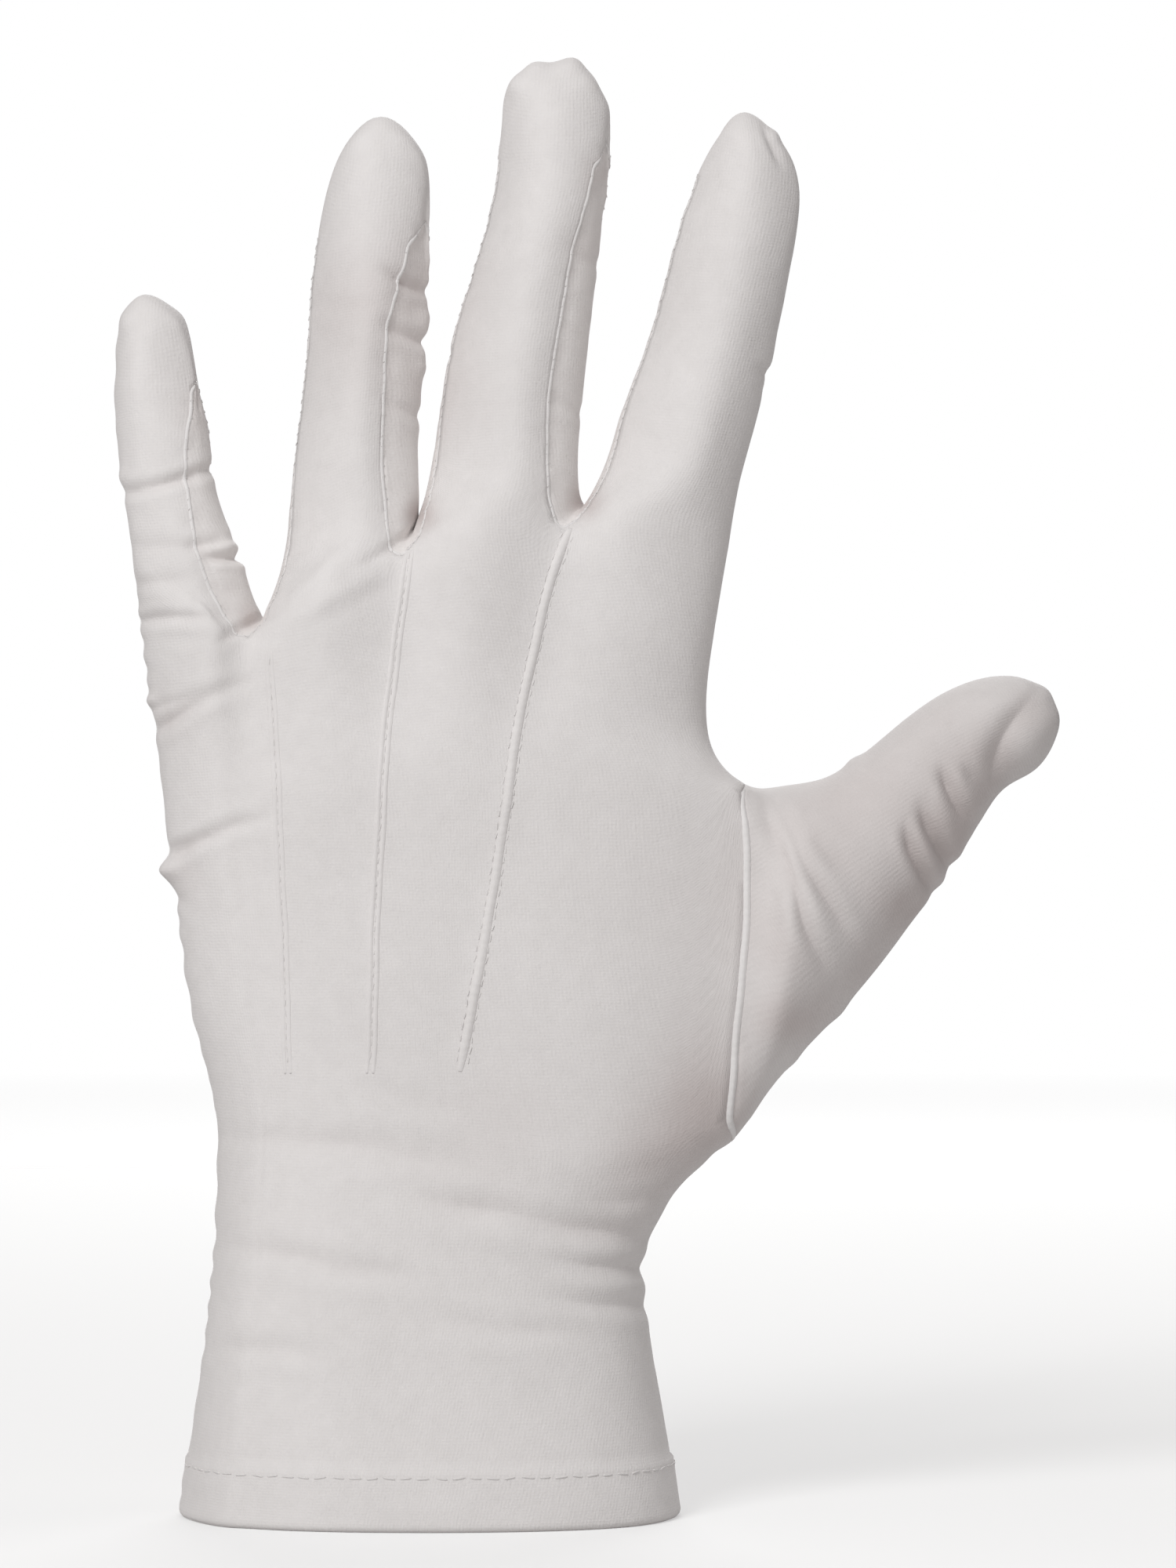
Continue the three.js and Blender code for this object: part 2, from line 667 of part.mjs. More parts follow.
// The line of skin points along a chain of points of the net, with the new point on each edge.
function skinPath(chain) {
  const numbers = [chain[0]];
  for (let i = 1; i < chain.length; i += 1) {
    numbers.push(skin.middles.get(edgeKey(chain[i - 1], chain[i])), chain[i]);
  }
  return numbers;
}

// The raised points run up the back and stop short of the forks.
const raisedPoints = FORK_COLUMNS.map((column) => {
  const chain = hand.slice(POINT_FIRST_ROW).map((ring) => ring.back[column]);
  return { numbers: skinPath(chain).slice(0, -1), ...POINT_RIDGE };
});

// Each fork's seam comes down one finger, round the fork and up the next finger, on the back and on the
// palm side.
const forkSeams = FORK_COLUMNS.flatMap((column, index) => {
  const down = fingerLoops[index].slice(0, FOURCHETTE_RINGS).reverse();
  const up = fingerLoops[index + 1].slice(0, FOURCHETTE_RINGS);
  const root = hand[LAST_ROW];
  const chains = [
    [...down.map((loop) => loop[2]), root.back[column], ...up.map((loop) => loop[0])],
    [...down.map((loop) => loop[4]), root.front[column], ...up.map((loop) => loop[6])],
  ];
  return chains.map((chain) => ({ numbers: skinPath(chain), ...SEAM_RIDGE }));
});

// The thumb's seam stands up along the edge of its opening.
const thumbSeams = ['back', 'front'].map((side) => {
  const chain = openingRows.map((row) => hand[row][side][lastColumn]);
  return { numbers: skinPath(chain), ...SEAM_RIDGE };
});

// The side seam runs up from the hem and on along the little finger.
const sideChain = [
  ...hand.slice(1).map((ring) => ring.left),
  ...fingerLoops[0].map((loop) => loop[7]),
];
const sideSeam = { numbers: skinPath(sideChain), ...SEAM_RIDGE };

const ridgePaths = { trank: [...raisedPoints, ...forkSeams, ...thumbSeams, sideSeam] };

const group = new THREE.Group();
['trank', 'thumb', ...fourchetteNames].forEach((name) => {
  const { points, triangles } = panelSolid(name, ridgePaths[name] || []);
  const geometry = new THREE.BufferGeometry().setFromPoints(points);
  geometry.setIndex(triangles.flat());
  const material = new THREE.MeshStandardMaterial({
    color: CLOTH_COLOUR,
    roughness: CLOTH_ROUGHNESS,
    metalness: 0,
  });
  const mesh = new THREE.Mesh(geometry, material);
  mesh.name = name;
  group.add(mesh);
});

export default group;
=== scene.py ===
import math
from functools import reduce
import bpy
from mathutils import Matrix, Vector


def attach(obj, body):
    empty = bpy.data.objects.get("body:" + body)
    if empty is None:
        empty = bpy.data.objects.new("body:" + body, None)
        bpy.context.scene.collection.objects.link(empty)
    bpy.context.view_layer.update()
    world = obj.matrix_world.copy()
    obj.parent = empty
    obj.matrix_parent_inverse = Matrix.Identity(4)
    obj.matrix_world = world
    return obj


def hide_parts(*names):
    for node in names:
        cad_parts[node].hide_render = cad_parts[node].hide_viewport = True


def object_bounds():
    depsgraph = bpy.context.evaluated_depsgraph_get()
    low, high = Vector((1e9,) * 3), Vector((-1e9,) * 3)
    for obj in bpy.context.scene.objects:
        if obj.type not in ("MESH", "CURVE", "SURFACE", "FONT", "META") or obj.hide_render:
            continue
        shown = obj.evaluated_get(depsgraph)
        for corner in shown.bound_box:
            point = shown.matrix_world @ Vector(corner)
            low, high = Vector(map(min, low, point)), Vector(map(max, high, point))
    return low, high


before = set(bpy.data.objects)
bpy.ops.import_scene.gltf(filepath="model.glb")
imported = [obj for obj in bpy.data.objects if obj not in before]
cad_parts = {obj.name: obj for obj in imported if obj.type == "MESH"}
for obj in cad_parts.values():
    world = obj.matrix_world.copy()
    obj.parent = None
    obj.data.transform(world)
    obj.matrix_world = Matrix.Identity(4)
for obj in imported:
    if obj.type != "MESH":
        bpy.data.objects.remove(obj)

from types import SimpleNamespace

import bpy
import numpy as np
from mathutils import Vector
from mathutils.bvhtree import BVHTree

CAD_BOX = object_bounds()

# A left-hand dress glove of thin white knit, held open as it is when worn. Sizes are in millimetres:
# X towards the thumb, Y towards the palm side, Z up to the fingertips. A coarse net of four-sided faces
# is fitted to the tables below, divided smoothly five times, creased and puckered, and cut into the
# glove's panels along its seams. Raised points, seams and stitches stand on that cloth.

MM = 0.001
WALL = 0.9  # thickness of the cloth
SEAM_SETBACK = 0.02  # each panel stops this far short of the seam line
HEM_HEIGHT = 9.0  # the turned hem at the wrist
HEM_STEP = 0.7  # over this height the hem's extra thickness fades out
HEM_SWELL = 0.45  # extra thickness of the hem
HEM_STITCH_HEIGHT = 7.3
STILL_HEIGHT = 2.5  # below this the hem stays even
SECTION_POWER = 2.3  # 2 is an ellipse, more is squarer
CORNER_REACH = 0.86  # where the back turns into the side, as a share of the half width
SIDE_Y = 1.0  # the middle of each side of the hand
LEAST_SEAM_DEPTH = 0.45  # the turn into the thumb's side stays this deep, as a share of the full depth
FITTING_ROUNDS = 12
INNER_LEVEL = 2  # divisions of the net on the inside of the cloth
PLAIN_LEVEL = 3  # divisions where the cloth is smooth
FINEST_LEVEL = 5
TREE_LEVEL = 4  # divisions of the skin that seams, points and stitches are laid on
FOLDED = ((4, 0.42), (5, 0.95))  # ups and downs within a face of the net that ask for each level
PALM_FACING = 0.3  # faces whose normal has a larger Y than this stay under the finest level
TURN_STEPS = 6  # steps of the half circle in which the hem turns in
POINTS_AT_ONCE = 4000  # how many points are measured in one go
MIDDLE = np.array((CAD_BOX[0] + CAD_BOX[1]) / 2) / MM
CAMERA_DISTANCE = 1040.0


def table(columns, rows):
    """Rows of numbers as objects with named columns."""
    return [SimpleNamespace(**dict(zip(columns.split(), row))) for row in rows]


def named(columns, rows):
    """The same rows by name, which is their first column."""
    return {row.name: row for row in table("name " + columns, rows)}


# The hand, ring by ring, from the wrist opening to the roots of the fingers. left lies on the little
# finger's side, right on the thumb's side. seam_back and seam_front are where the back and the palm turn
# into the thumb's side. back and front are depths from the middle plane, drop lowers those two turns
# below the fork of the thumb, and rise is how far the ring has the arched shape of the finger roots.
HAND = table("left_x left_z right_x right_z seam_back seam_front back front drop rise", [
    (-39.5, 0, 39.5, 0, 34, 34, 25, 25, 0, 0),
    (-38.4, 9, 38.2, 9, 33, 33, 24, 24.5, 0, 0),
    (-36.6, 21, 36, 21, 31, 31, 22.3, 23.3, 0, 0),
    (-35.2, 32, 34.4, 32, 29.6, 29.5, 20.8, 22.3, 0, 0),
    (-34.2, 43, 34.6, 42, 29.6, 29, 19.3, 21.6, 0, 0),
    (-33.8, 54, 40.5, 52.6, 36.8, 33, 18.2, 21.6, 0, 0),
    (-34.2, 65, 46.9, 58.3, 47.2, 39, 17.2, 21.5, -3.5, 0),
    (-37.6, 78, 56, 74, 48.5, 36.5, 16.5, 20.5, 0, 0),
    (-39.6, 90.5, 58, 87.5, 49.7, 35.5, 16, 19, 0, 0),
    (-41.2, 102.5, 57, 101, 50.4, 37, 15.5, 17.5, 0, 0),
    (-42.2, 112, 49.3, 115.6, 49.2, 43, 15.3, 16, 2, 0.245),
    (-43.2, 120.5, 44.3, 123.5, 40.8, 40, 14.3, 15, 0, 0.45),
    (-44.6, 130, 44.9, 137, 41.2, 41, 13.8, 14.2, 0, 0.72),
    (-46, 140, 47.2, 151.5, 43.8, 43.8, 13.2, 13.5, 0, 1),
])
THUMB_FIRST_ROW = 6  # the thumb's opening lies between these two rings
THUMB_LAST_ROW = 10

# The lines that run down from the three forks, which the raised points follow.
FORK_LINES = table("top_x top_z wrist_x wrist_z front_shift", [
    (-27.6, 139, -22.6, 69.3, 6),
    (-4, 152, -9.5, 69.3, 5),
    (22, 156.3, 4.9, 69.3, 5),
])
ROOT_ARCH = (0, 0, -3.6, 4.3, 6.2, 10, 7.4, 6.5, 1.5)  # rise of the finger roots, column by column
ROOT_RISE = 6  # rise of the finger roots at the fork lines
FORK_DIP = 0.3  # the cloth sinks in at the forks by this share of the depth
FORKS = ((-26.3, 0.5, 141.6), (-1.8, 0.5, 156.3), (24.8, 0.5, 159.6))

# Each finger, ring by ring. roll turns its back towards the little finger's side, and web and
# right_web are the angles between the middle of a side and the seams that bound it. right_web is for the
# seam on the back that faces the thumb.
FINGER_COLUMNS = "left_x left_z right_x right_z depth y roll web right_web"
FINGERS = [
    SimpleNamespace(name="little", tip=(-45.6, 5, 193.9), point=0.2, rings=table(FINGER_COLUMNS, [
        (-46.8, 146, -29, 148, 15.6, 0.8, 12, 53, 60),
        (-47.9, 154.5, -31.6, 155, 15, 1.4, 19, 46, 54),
        (-49, 163, -34.3, 163.4, 14.2, 2.2, 23, 38, 41),
        (-50, 171, -35.2, 171.5, 13.6, 3, 23, 31, 34),
        (-50.4, 177.6, -36.8, 178, 13, 3.7, 22, 18, 13),
        (-49.8, 187.4, -39, 188.2, 10.8, 4.7, 20, 32, 32),
    ])),
    SimpleNamespace(name="ring", tip=(-7.9, 6.5, 222.6), point=0.3, rings=table(FINGER_COLUMNS, [
        (-23.5, 150, -1.6, 161, 18.2, 0.8, 8, 48, 52),
        (-22, 162.5, -2, 169, 17.8, 1.8, 13, 42, 51),
        (-20.7, 175.5, -1.6, 179, 16.8, 2.6, 16, 35, 51),
        (-19.5, 188, -0.8, 189.6, 16.2, 3.7, 16, 28, 52),
        (-18.4, 201, -0.3, 201.4, 15.3, 4.8, 16, 16, 33),
        (-15, 215, -0.8, 215, 12.6, 6, 14, 32, 32),
    ])),
    SimpleNamespace(name="middle", tip=(20.6, 7, 231.2), point=0.42, rings=table(FINGER_COLUMNS, [
        (0.2, 163.5, 23.7, 166, 20, 0.8, 6, 47, 49),
        (2, 175.5, 24.2, 176.5, 20, 2.1, 10, 41, 48),
        (4, 188.5, 25.4, 188.5, 18.8, 2.9, 13, 35, 44),
        (8.1, 202, 26.9, 201.5, 17.4, 4, 13, 28, 41),
        (10.8, 214.5, 28.4, 213.5, 16.2, 5.4, 13, 16, 30),
        (12.2, 226, 27.9, 225, 13, 6.6, 11, 34, 34),
    ])),
    SimpleNamespace(name="index", tip=(50.3, 4.5, 223), point=0.3, rings=table(FINGER_COLUMNS, [
        (28, 165.5, 49.4, 163.5, 19.6, 0.6, 4, 48, 48),
        (31.4, 176, 52.1, 174, 18.8, 1, 6, 42, 44),
        (35.3, 187.5, 55, 186, 17.8, 1.6, 7, 36, 39),
        (38.7, 200.5, 57.6, 198.5, 16.8, 2.4, 7, 28, 31),
        (42.5, 211.8, 58.7, 210, 15.2, 3.4, 7, 16, 18),
        (46, 218.8, 56.6, 217.2, 12, 4.2, 6, 30, 30),
    ])),
]
FOURCHETTE_RINGS = 5  # a fourchette ends at this ring of each finger
FOURCHETTES = [f"fourchette_{a.name}_{b.name}" for a, b in zip(FINGERS, FINGERS[1:])]
PANELS = ["trank", "thumb", *FOURCHETTES]

# By how many degrees the back seams on a finger's left lie in front of its outline, ring by ring.
LEFT_WEBS = (11, 0, -7, -9, -9)

# The thumb, ring by ring from the palm, and the ridge of three points over its end.
THUMB_TIP = (100.8, 11, 126.6)
THUMB_RIDGE_STEP = 0.27  # from point to point, as a share of the last ring's width
THUMB_RIDGE_FALL = 1.6  # the outer two lie this far behind the tip
THUMB_AXIS = ((50, 6, 96), (97, 10, 124))  # through the middle of the thumb, from the palm to the tip
THUMB_RADIUS = 12.0
THUMB_START = 150  # angle of the first point of a thumb ring
THUMB = table("top_x top_z bottom_x bottom_z depth y", [
    (57.5, 115.3, 56.5, 69.5, 35, 4),
    (63.5, 116.6, 66.5, 80.2, 31, 5),
    (69.8, 120.7, 76.5, 92.8, 27, 6.5),
    (76.6, 126.3, 84.8, 104, 23, 8),
    (85.2, 131.4, 91, 113.6, 20, 9.5),
    (93.6, 132.7, 96.8, 117.8, 16.5, 10.5),
])

# Folds are valleys along a line over the cloth, and a negative depth makes a ridge. Their places are those
# seen by the camera, on the plane through the glove's middle. bow bends the line sideways in its middle,
# lip raises the cloth beside the valley by a share of its depth, and side is -1 on the back, 1 on the
# palm side and 0 right round.
FOLD_WRAP = 0.4  # how far a fold of one side reaches round the edge
LIP_REACH = 1.7  # the lips stand this many widths from the middle of a fold
FOLD_MARGIN = 3.0  # this many widths past the lips nothing of a fold is left
FOLD_FADE = 0.38  # share of a fold's length over which each end fades out
CREASE_POWER = 1.5  # 2 is a round valley, less is a sharper one
FOLDS = table("x1 z1 x2 z2 bow depth width lip side", [
    (-57, 160.8, -33, 164.9, 0.2, 0.75, 1, 0.18, -1),
    (-43, 163.2, -30, 166.8, 0, 0.55, 1, 0.2, 0),
    (-52, 153.2, -34, 153.5, 0.2, 0.25, 1.2, 0.2, -1),
    (-54, 146.4, -35, 148.8, 0.3, 0.42, 1.2, 0.2, -1),
    (-54, 139, -30, 142.2, -1.2, 0.75, 1, 0.2, -1),
    (-45, 138.2, -32, 138.8, 0, 0.16, 1.2, 0.2, -1),
    (-41, 152.6, -28, 154.8, 0, 0.55, 1, 0.25, 0),
    (-37.5, 152.2, -25, 151, 0, 0.95, 0.85, 0.3, 0),
    (-38, 147.4, -28, 146, 0, 0.3, 1.6, 0.2, 0),
    (-35, 137.6, -22.6, 143.6, 0, 0.7, 0.8, 0.25, -1),
    (-56, 114.8, -24, 134, -1.9, 0.75, 1.2, 0.25, -1),
    (-54, 123.4, -33.6, 132, 0.3, 0.5, 1, 0.1, -1),
    (-61, 93.4, -22, 111.8, -1.5, 0.85, 1.2, 0.25, -1),
    (-52, 99.4, -34, 108.4, -0.4, 0.3, 1, 0.2, -1),
    (-36, 118.6, -14, 121.5, 0.8, 0.12, 1.8, 0.3, -1),
    (3.6, 159.6, -14, 149.4, -0.8, 0.5, 0.85, 0.15, -1),
    (-1, 152.2, -26, 138.8, 0.6, -0.34, 1.6, 0, -1),
    (-2, 149, -22, 138.4, 0.6, 0.22, 1.6, 0.2, -1),
    (51.6, 118, 65.4, 80, 0.6, 0.85, 1.3, 0.35, -1),
    (53, 117, 71.4, 84.4, 0.9, 0.7, 1.3, 0.35, -1),
    (56.4, 112.8, 75, 94, 0.8, 0.35, 1.8, 0.3, -1),
    (75.4, 111.4, 81.8, 94.6, 0.9, 1.15, 1.15, 0.3, -1),
    (77.6, 114.6, 85.4, 97.6, 0.8, 1.5, 1.3, 0.3, -1),
    (80.6, 119.6, 87.4, 107.4, 0.7, 1.25, 1.15, 0.3, -1),
    (84.6, 119.4, 90, 112, 0.4, 0.5, 1.1, 0.25, -1),
    (97.6, 132.2, 89, 111.8, 1.4, 1.5, 2.4, 0.12, -1),
    (-52, 61.4, 4, 57.6, 0.5, 0.3, 2, 0.25, -1),
    (-14, 66.6, 16, 63.4, 0.3, 0.22, 1.5, 0.3, -1),
    (-30, 60.4, 30, 46.4, -2, 0.5, 3.2, 0.2, -1),
    (-12, 51.8, 48, 40, 0, 0.9, 2.4, 0.25, -1),
    (20, 48.6, 46, 51, 0.5, 0.25, 1.6, 0.3, -1),
    (16, 40.2, 46, 37.4, 0.4, 0.7, 1.6, 0.3, 0),
    (16, 34, 42, 32, 0.4, 0.5, 1.5, 0.3, 0),
    (-38, 43.5, 4, 36, 0.4, 0.5, 2, 0.25, 0),
    (-6, 31, 30, 27.4, 0.4, 0.35, 1.8, 0.3, -1),
    (-38, 27, -12, 24.5, 0.4, 0.35, 1.7, 0.3, -1),
    (-24, 192.8, -7, 191.6, 0.4, 0.2, 1, 0.4, -1),
    (-21, 184.6, -10, 185.8, 0.2, 0.14, 1.1, 0.4, -1),
    (-26, 174.6, -6, 176, 0.5, 0.2, 1.2, 0.4, -1),
    (-22, 164.4, -6, 165.8, 0.3, 0.14, 1.3, 0.4, -1),
    (2.4, 174, 20.6, 175, -0.9, 0.22, 1, 0.4, -1),
    (8, 197.6, 20, 198, 0.3, 0.14, 1.2, 0.4, -1),
    (1, 183.4, 8, 184.2, 0, 0.3, 0.9, 0.3, 0),
    (3.4, 194.2, 10, 195.2, 0, 0.2, 0.9, 0.3, 0),
    (53, 221.4, 56.4, 212.6, 0.2, 0.55, 0.65, 0.3, -1),
    (50, 181.4, 60, 180.2, 0, 0.35, 0.9, 0.3, 0),
    (41, 205.6, 55, 206.2, 0.2, 0.12, 1.3, 0.4, -1),
    (-8.6, 198.6, 2.8, 193, 0.8, 0.75, 1, 0.3, 0),
    (-8, 190, 2.8, 184.4, 0.8, 0.85, 1.1, 0.3, 0),
    (-8, 178, 2.4, 172.6, 0.8, 0.5, 1.1, 0.3, 0),
    (20, 202, 29.6, 197, 0.6, 0.3, 1.1, 0.3, 0),
    (18, 178, 27.6, 173.4, 0.6, 0.3, 1.1, 0.3, 0),
    (-50, 113, 26, 141, 2.6, 0.75, 2.4, 0.2, 1),
    (50, 125, -34, 98, -3, 0.7, 2.4, 0.2, 1),
    (43, 130, 10, 50, 7, 0.95, 2.8, 0.2, 1),
    (48, 117, 12, 88, 1, 0.3, 2, 0.3, 1),
    (-46, 146.2, -30, 146.4, 0, 0.5, 1.2, 0.3, 1),
    (-50, 163, -34, 163.4, 0, 0.45, 1.1, 0.3, 1),
    (-49, 160.6, -35, 161, 0, 0.25, 1, 0.3, 1),
    (-52, 177, -36, 177.4, 0, 0.35, 1.1, 0.3, 1),
    (-24, 160, -2, 160.6, 0, 0.5, 1.3, 0.3, 1),
    (-22, 181.4, -1, 182, 0, 0.5, 1.2, 0.3, 1),
    (-21, 178.6, -3, 179, 0, 0.3, 1.1, 0.3, 1),
    (-19, 201, 0, 201.4, 0, 0.35, 1.2, 0.3, 1),
    (-1, 164.4, 24, 165, 0, 0.5, 1.4, 0.3, 1),
    (3, 188.4, 26, 188.8, 0, 0.55, 1.3, 0.3, 1),
    (4, 185.4, 25, 185.8, 0, 0.3, 1.1, 0.3, 1),
    (9, 210, 29, 210.4, 0, 0.35, 1.2, 0.3, 1),
    (27, 162.6, 50, 162, 0, 0.5, 1.4, 0.3, 1),
    (33, 183.4, 55, 182.6, 0, 0.55, 1.3, 0.3, 1),
    (33, 180.4, 54, 179.8, 0, 0.3, 1.1, 0.3, 1),
    (39, 201.6, 59, 201, 0, 0.35, 1.2, 0.3, 1),
    (77, 129, 86, 102, 0, 0.5, 1.4, 0.3, 1),
    (62, 119, 67, 78, -1, 0.4, 1.8, 0.3, 1),
    (-38, 52, 30, 47.6, -1, 0.5, 1.8, 0.3, 1),
    (-26, 42.6, 40, 41, 0.6, 0.35, 1.8, 0.3, 1),
    (-40, 60.4, -8, 66, 0.5, 0.35, 2, 0.3, 1),
])

# Small swellings of the cloth, placed in the same way. A negative height is a dent.
SWELLINGS = table("x z radius height", [
    (-42.2, 101.8, 1.8, 3),
    (-40.4, 96.9, 1.3, -0.5),
    (-44.8, 128.8, 1.1, 0.9),
    (-49.2, 164.4, 1.2, 0.35),
    (-46.4, 142.6, 1.1, 0.35),
    (-49.8, 190, 2, 0.5),
    (-39.6, 190, 2, 0.3),
    (48.5, 114.5, 1.5, 0.45),
    (67.2, 119.3, 1.6, 0.5),
    (56.4, 183, 2.6, 0.45),
    (54.6, 179, 2.2, -0.45),
    (54.8, 218.8, 1.3, 0.4),
    (99.2, 131.4, 2.2, 1.9),
    (66, 78.4, 2.2, 0.5),
    (59, 70.4, 1.8, 0.6),
    (50.4, 63.8, 1.6, 0.2),
    (45.4, 56.8, 2.2, -0.5),
    (13.8, 227.6, 2.6, 0.75),
    (16.2, 230.8, 2, 1.8),
    (23.2, 231, 2.2, 2.1),
    (25.8, 228.2, 2.2, 0.7),
    (-32.2, 153.6, 1.3, 0.7),
    (-0.4, 189.6, 1.5, 0.5),
    (0, 198.6, 1.6, 0.4),
    (-0.9, 181.6, 1.4, 0.4),
])

# Spots where the colour turns darker and pinkish, placed in the same way: partly the hand showing through the
# thin cloth, partly painted shade under the thumb, in the pockets at the forks and along the wrist. side is
# as for the folds.
BLUSH_AND_SHADE_SPOTS = table("x z radius amount side", [
    (44, 64, 9, 1.4, -1),
    (37, 55, 8, 0.9, -1),
    (44, 77, 7, 0.4, -1),
    (30, 46, 8, 0.3, -1),
    (83, 106, 6, 1.5, -1),
    (75, 94, 7, 1, -1),
    (64, 82, 8, 0.5, -1),
    (88, 117, 6, 1.1, -1),
    (67, 112, 14, 0.9, -1),
    (84, 121, 12, 0.75, -1),
    (79.5, 95, 5, 1.2, -1),
    (71.5, 85, 5, 1.1, -1),
    (63, 76, 5, 0.7, -1),
    (55.5, 78, 4.5, 0.9, -1),
    (56.5, 89, 5, 0.5, -1),
    (97, 127, 5, 0.6, -1),
    (50, 95, 12, 0.5, -1),
    (-43, 126, 5, 0.3, -1),
    (-40, 101, 4, 0.35, -1),
    (-36, 175, 4, 0.6, -1),
    (-12, 189, 12, 0.6, -1),
    (0, 195, 7, 0.75, -1),
    (0, 178, 7, 0.6, -1),
    (27.4, 212, 3, 0.8, -1),
    (25.6, 201, 4, 0.4, -1),
    (25, 160.4, 2.4, 1.6, 0),
    (-1.4, 158.6, 2.2, 1.6, 0),
    (-28.4, 142, 1.8, 1, 0),
    (10, 60, 9, 0.25, -1),
    (20, 95, 26, 0.5, 1),
    (5, 135, 16, 0.3, 1),
])
# Painted shade in the folds, and a cap on the darker pinkish tone as a whole.
SHADE_IN_FOLDS = 0.3  # extra for each millimetre that the cloth lies low
MOST_BLUSH_AND_SHADE = 1.5

# Soft unevenness everywhere, with the size of its lumps, and the extra of slack cloth.
LUMPS = table("height size seed", [
    (0.15, (16, 14, 22), 11),
    (0.06, (6, 6, 9), 23),
    (0.02, (2.4, 2.4, 3), 37),
])
SLACK_LUMPS = SimpleNamespace(height=0.04, size=(9, 9, 2.6), seed=53)
SLACK_REACHES = ((138, 163), (66, 51))  # the fingers and the wrist are slack: from none to fully, by height

# The raised points on the back, each with its half width, its height, how far apart its ridges stand and
# the places it passes, as seen by the camera.
POINTS = table("width height apart places", [
    (0.36, 0.08, 0.45, ((-25.6, 136.6), (-24.9, 124), (-24.2, 110.7), (-23.4, 92), (-22.6, 69.3))),
    (0.36, 0.14, 0.5, ((-3, 153.4), (-5.3, 138.4), (-7.2, 121.2), (-8.6, 97.2), (-9.5, 69.3))),
    (0.7, 0.34, 0, ((22.4, 156.2), (18.9, 147.4), (16.5, 136.3), (13.8, 123.5), (10.2, 98.4), (7.2, 82.8),
                   (4.9, 69.6))),
])
POINT_SWELL = 0.14  # the cloth rises softly to a raised point
POINT_SWELL_REACH = 1.3
BACK_RISE = 3.0  # how fast that rise sets in where the cloth turns to the back

# The seams: half width and height of the ridge, rounds that soften its corners, the hollow that runs beside
# it in a fourchette, the height above which it isn't seen, and the puckers along it, with the phase at
# which they start.
SEAMS = named("closed width height rounds ditch top pucker pucker_pitch pucker_reach phase", [
    ("finger_seams", True, 0.3, 0.15, 8, 0.14, math.inf, 0.1, 4.4, 1.7, 0),
    ("thumb_seam", True, 0.6, 0.38, 40, 0, 115.5, 0.06, 5.6, 2, 0.4),
    ("side_seam", False, 0.36, 0.3, 4, 0, math.inf, 0.2, 5.3, 2.2, 0.9),
])
PHASE_STEP = 2.1  # from one fourchette's seam to the next
DITCH_PLACE = 1.4  # the hollow in a fourchette runs this far from its seam
DITCH_REACH = 1.15
RIDGE_STEP = 0.33  # length of each piece of a raised line
NORMAL_ROUNDS = 12  # how often the normals along a line are softened
POINT_ROUNDS = 160  # and the corners of a raised point's line
LAID_ROUNDS = 2  # and a line once it lies on the cloth
SEAM_TAPER = 1.0  # length over which an open ridge rises at its ends
POINT_TAPER = 4.0
TOP_FADE = 8.0  # below its top a seam rises to its full height over this length
LEAST_AT_TOP = 0.12
LEAST_WIDTH = 0.4  # share of its width that a ridge keeps where it is lowest
LUMPS_IN_WIDTH = 0.15  # share of its lumps that also show in its width
LEAST_AT_SIDE = 0.22  # share of its height that a ridge keeps on the sides and the palm side
SIDE_TURN = 0.2  # from here towards the back, by the normal's Y, a ridge rises
SIDE_RISE = 2.4

# Section of a raised line, in half widths and heights. Its foot is sunk in the cloth by PROFILE_ROOT.
PROFILE = [(-1.6, -0.6), (-1.3, -0.03), (-1, 0.12), (-0.7, 0.48), (-0.36, 0.87), (0, 1), (0.36, 0.87),
           (0.7, 0.48), (1, 0.12), (1.3, -0.03), (1.6, -0.6)]
PROFILE_ROOT = 0.35

# A stitch: places along it with their share of its half thickness, and the number of its sides. For each
# row of stitches its pitch, the length and half thickness of a stitch and its turn in radians.
STITCH_RINGS = ((-0.5, 0), (-0.46, 0.6), (-0.3, 0.95), (0, 1), (0.3, 0.95), (0.46, 0.6), (0.5, 0))
STITCH_SECTION = 6
STITCHES = named("pitch length thickness turn", [
    ("points", 1.8, 1.1, 0.1, 0),
    ("finger_seams", 1.7, 0.8, 0.09, 0.9),
    ("hem", 2.7, 1.9, 0.17, 0),
])
BESIDE_POINT = 0.2  # the stitches run this far from the edge of a raised point
ON_SEAM = 0.4  # and on a seam at this share of its height
ON_HEM = 0.02
# By how much the turn, the place and the length of stitches vary, and how fast from one to the next.
STITCH_TURNS = (0.16, 2.3)
STITCH_SHIFTS = (0.05, 1.7)
STITCH_LENGTHS = (0.1, 3.1)

# Waves along folds, seams and raised lines that keep them from being even: size, and length over 2 pi.
FOLD_WANDER = (0.22, 2.7)
FOLD_SURGE = (0.14, 3.6)
FOLD_PHASES = (3, 5)  # the place of a fold's start, times these, is the phase of the two
PUCKER_DRIFT = (2.2, 5.3)
PUCKER_SURGE = (0.4, 7.7)
PUCKER_MEAN = 0.6  # the share of their height about which puckers surge
DITCH_LUMPS = (0.4, 1.1)
# The third number turns the half width of a raised line into the wave's phase.
RIDGE_LUMPS = ((0.1, 1.45 / 2 / math.pi, 9), (0.08, 2.9, 0))
RIDGE_WANDERS = ((0.07, 4.7, 20), (0.04, 1.9, 0))

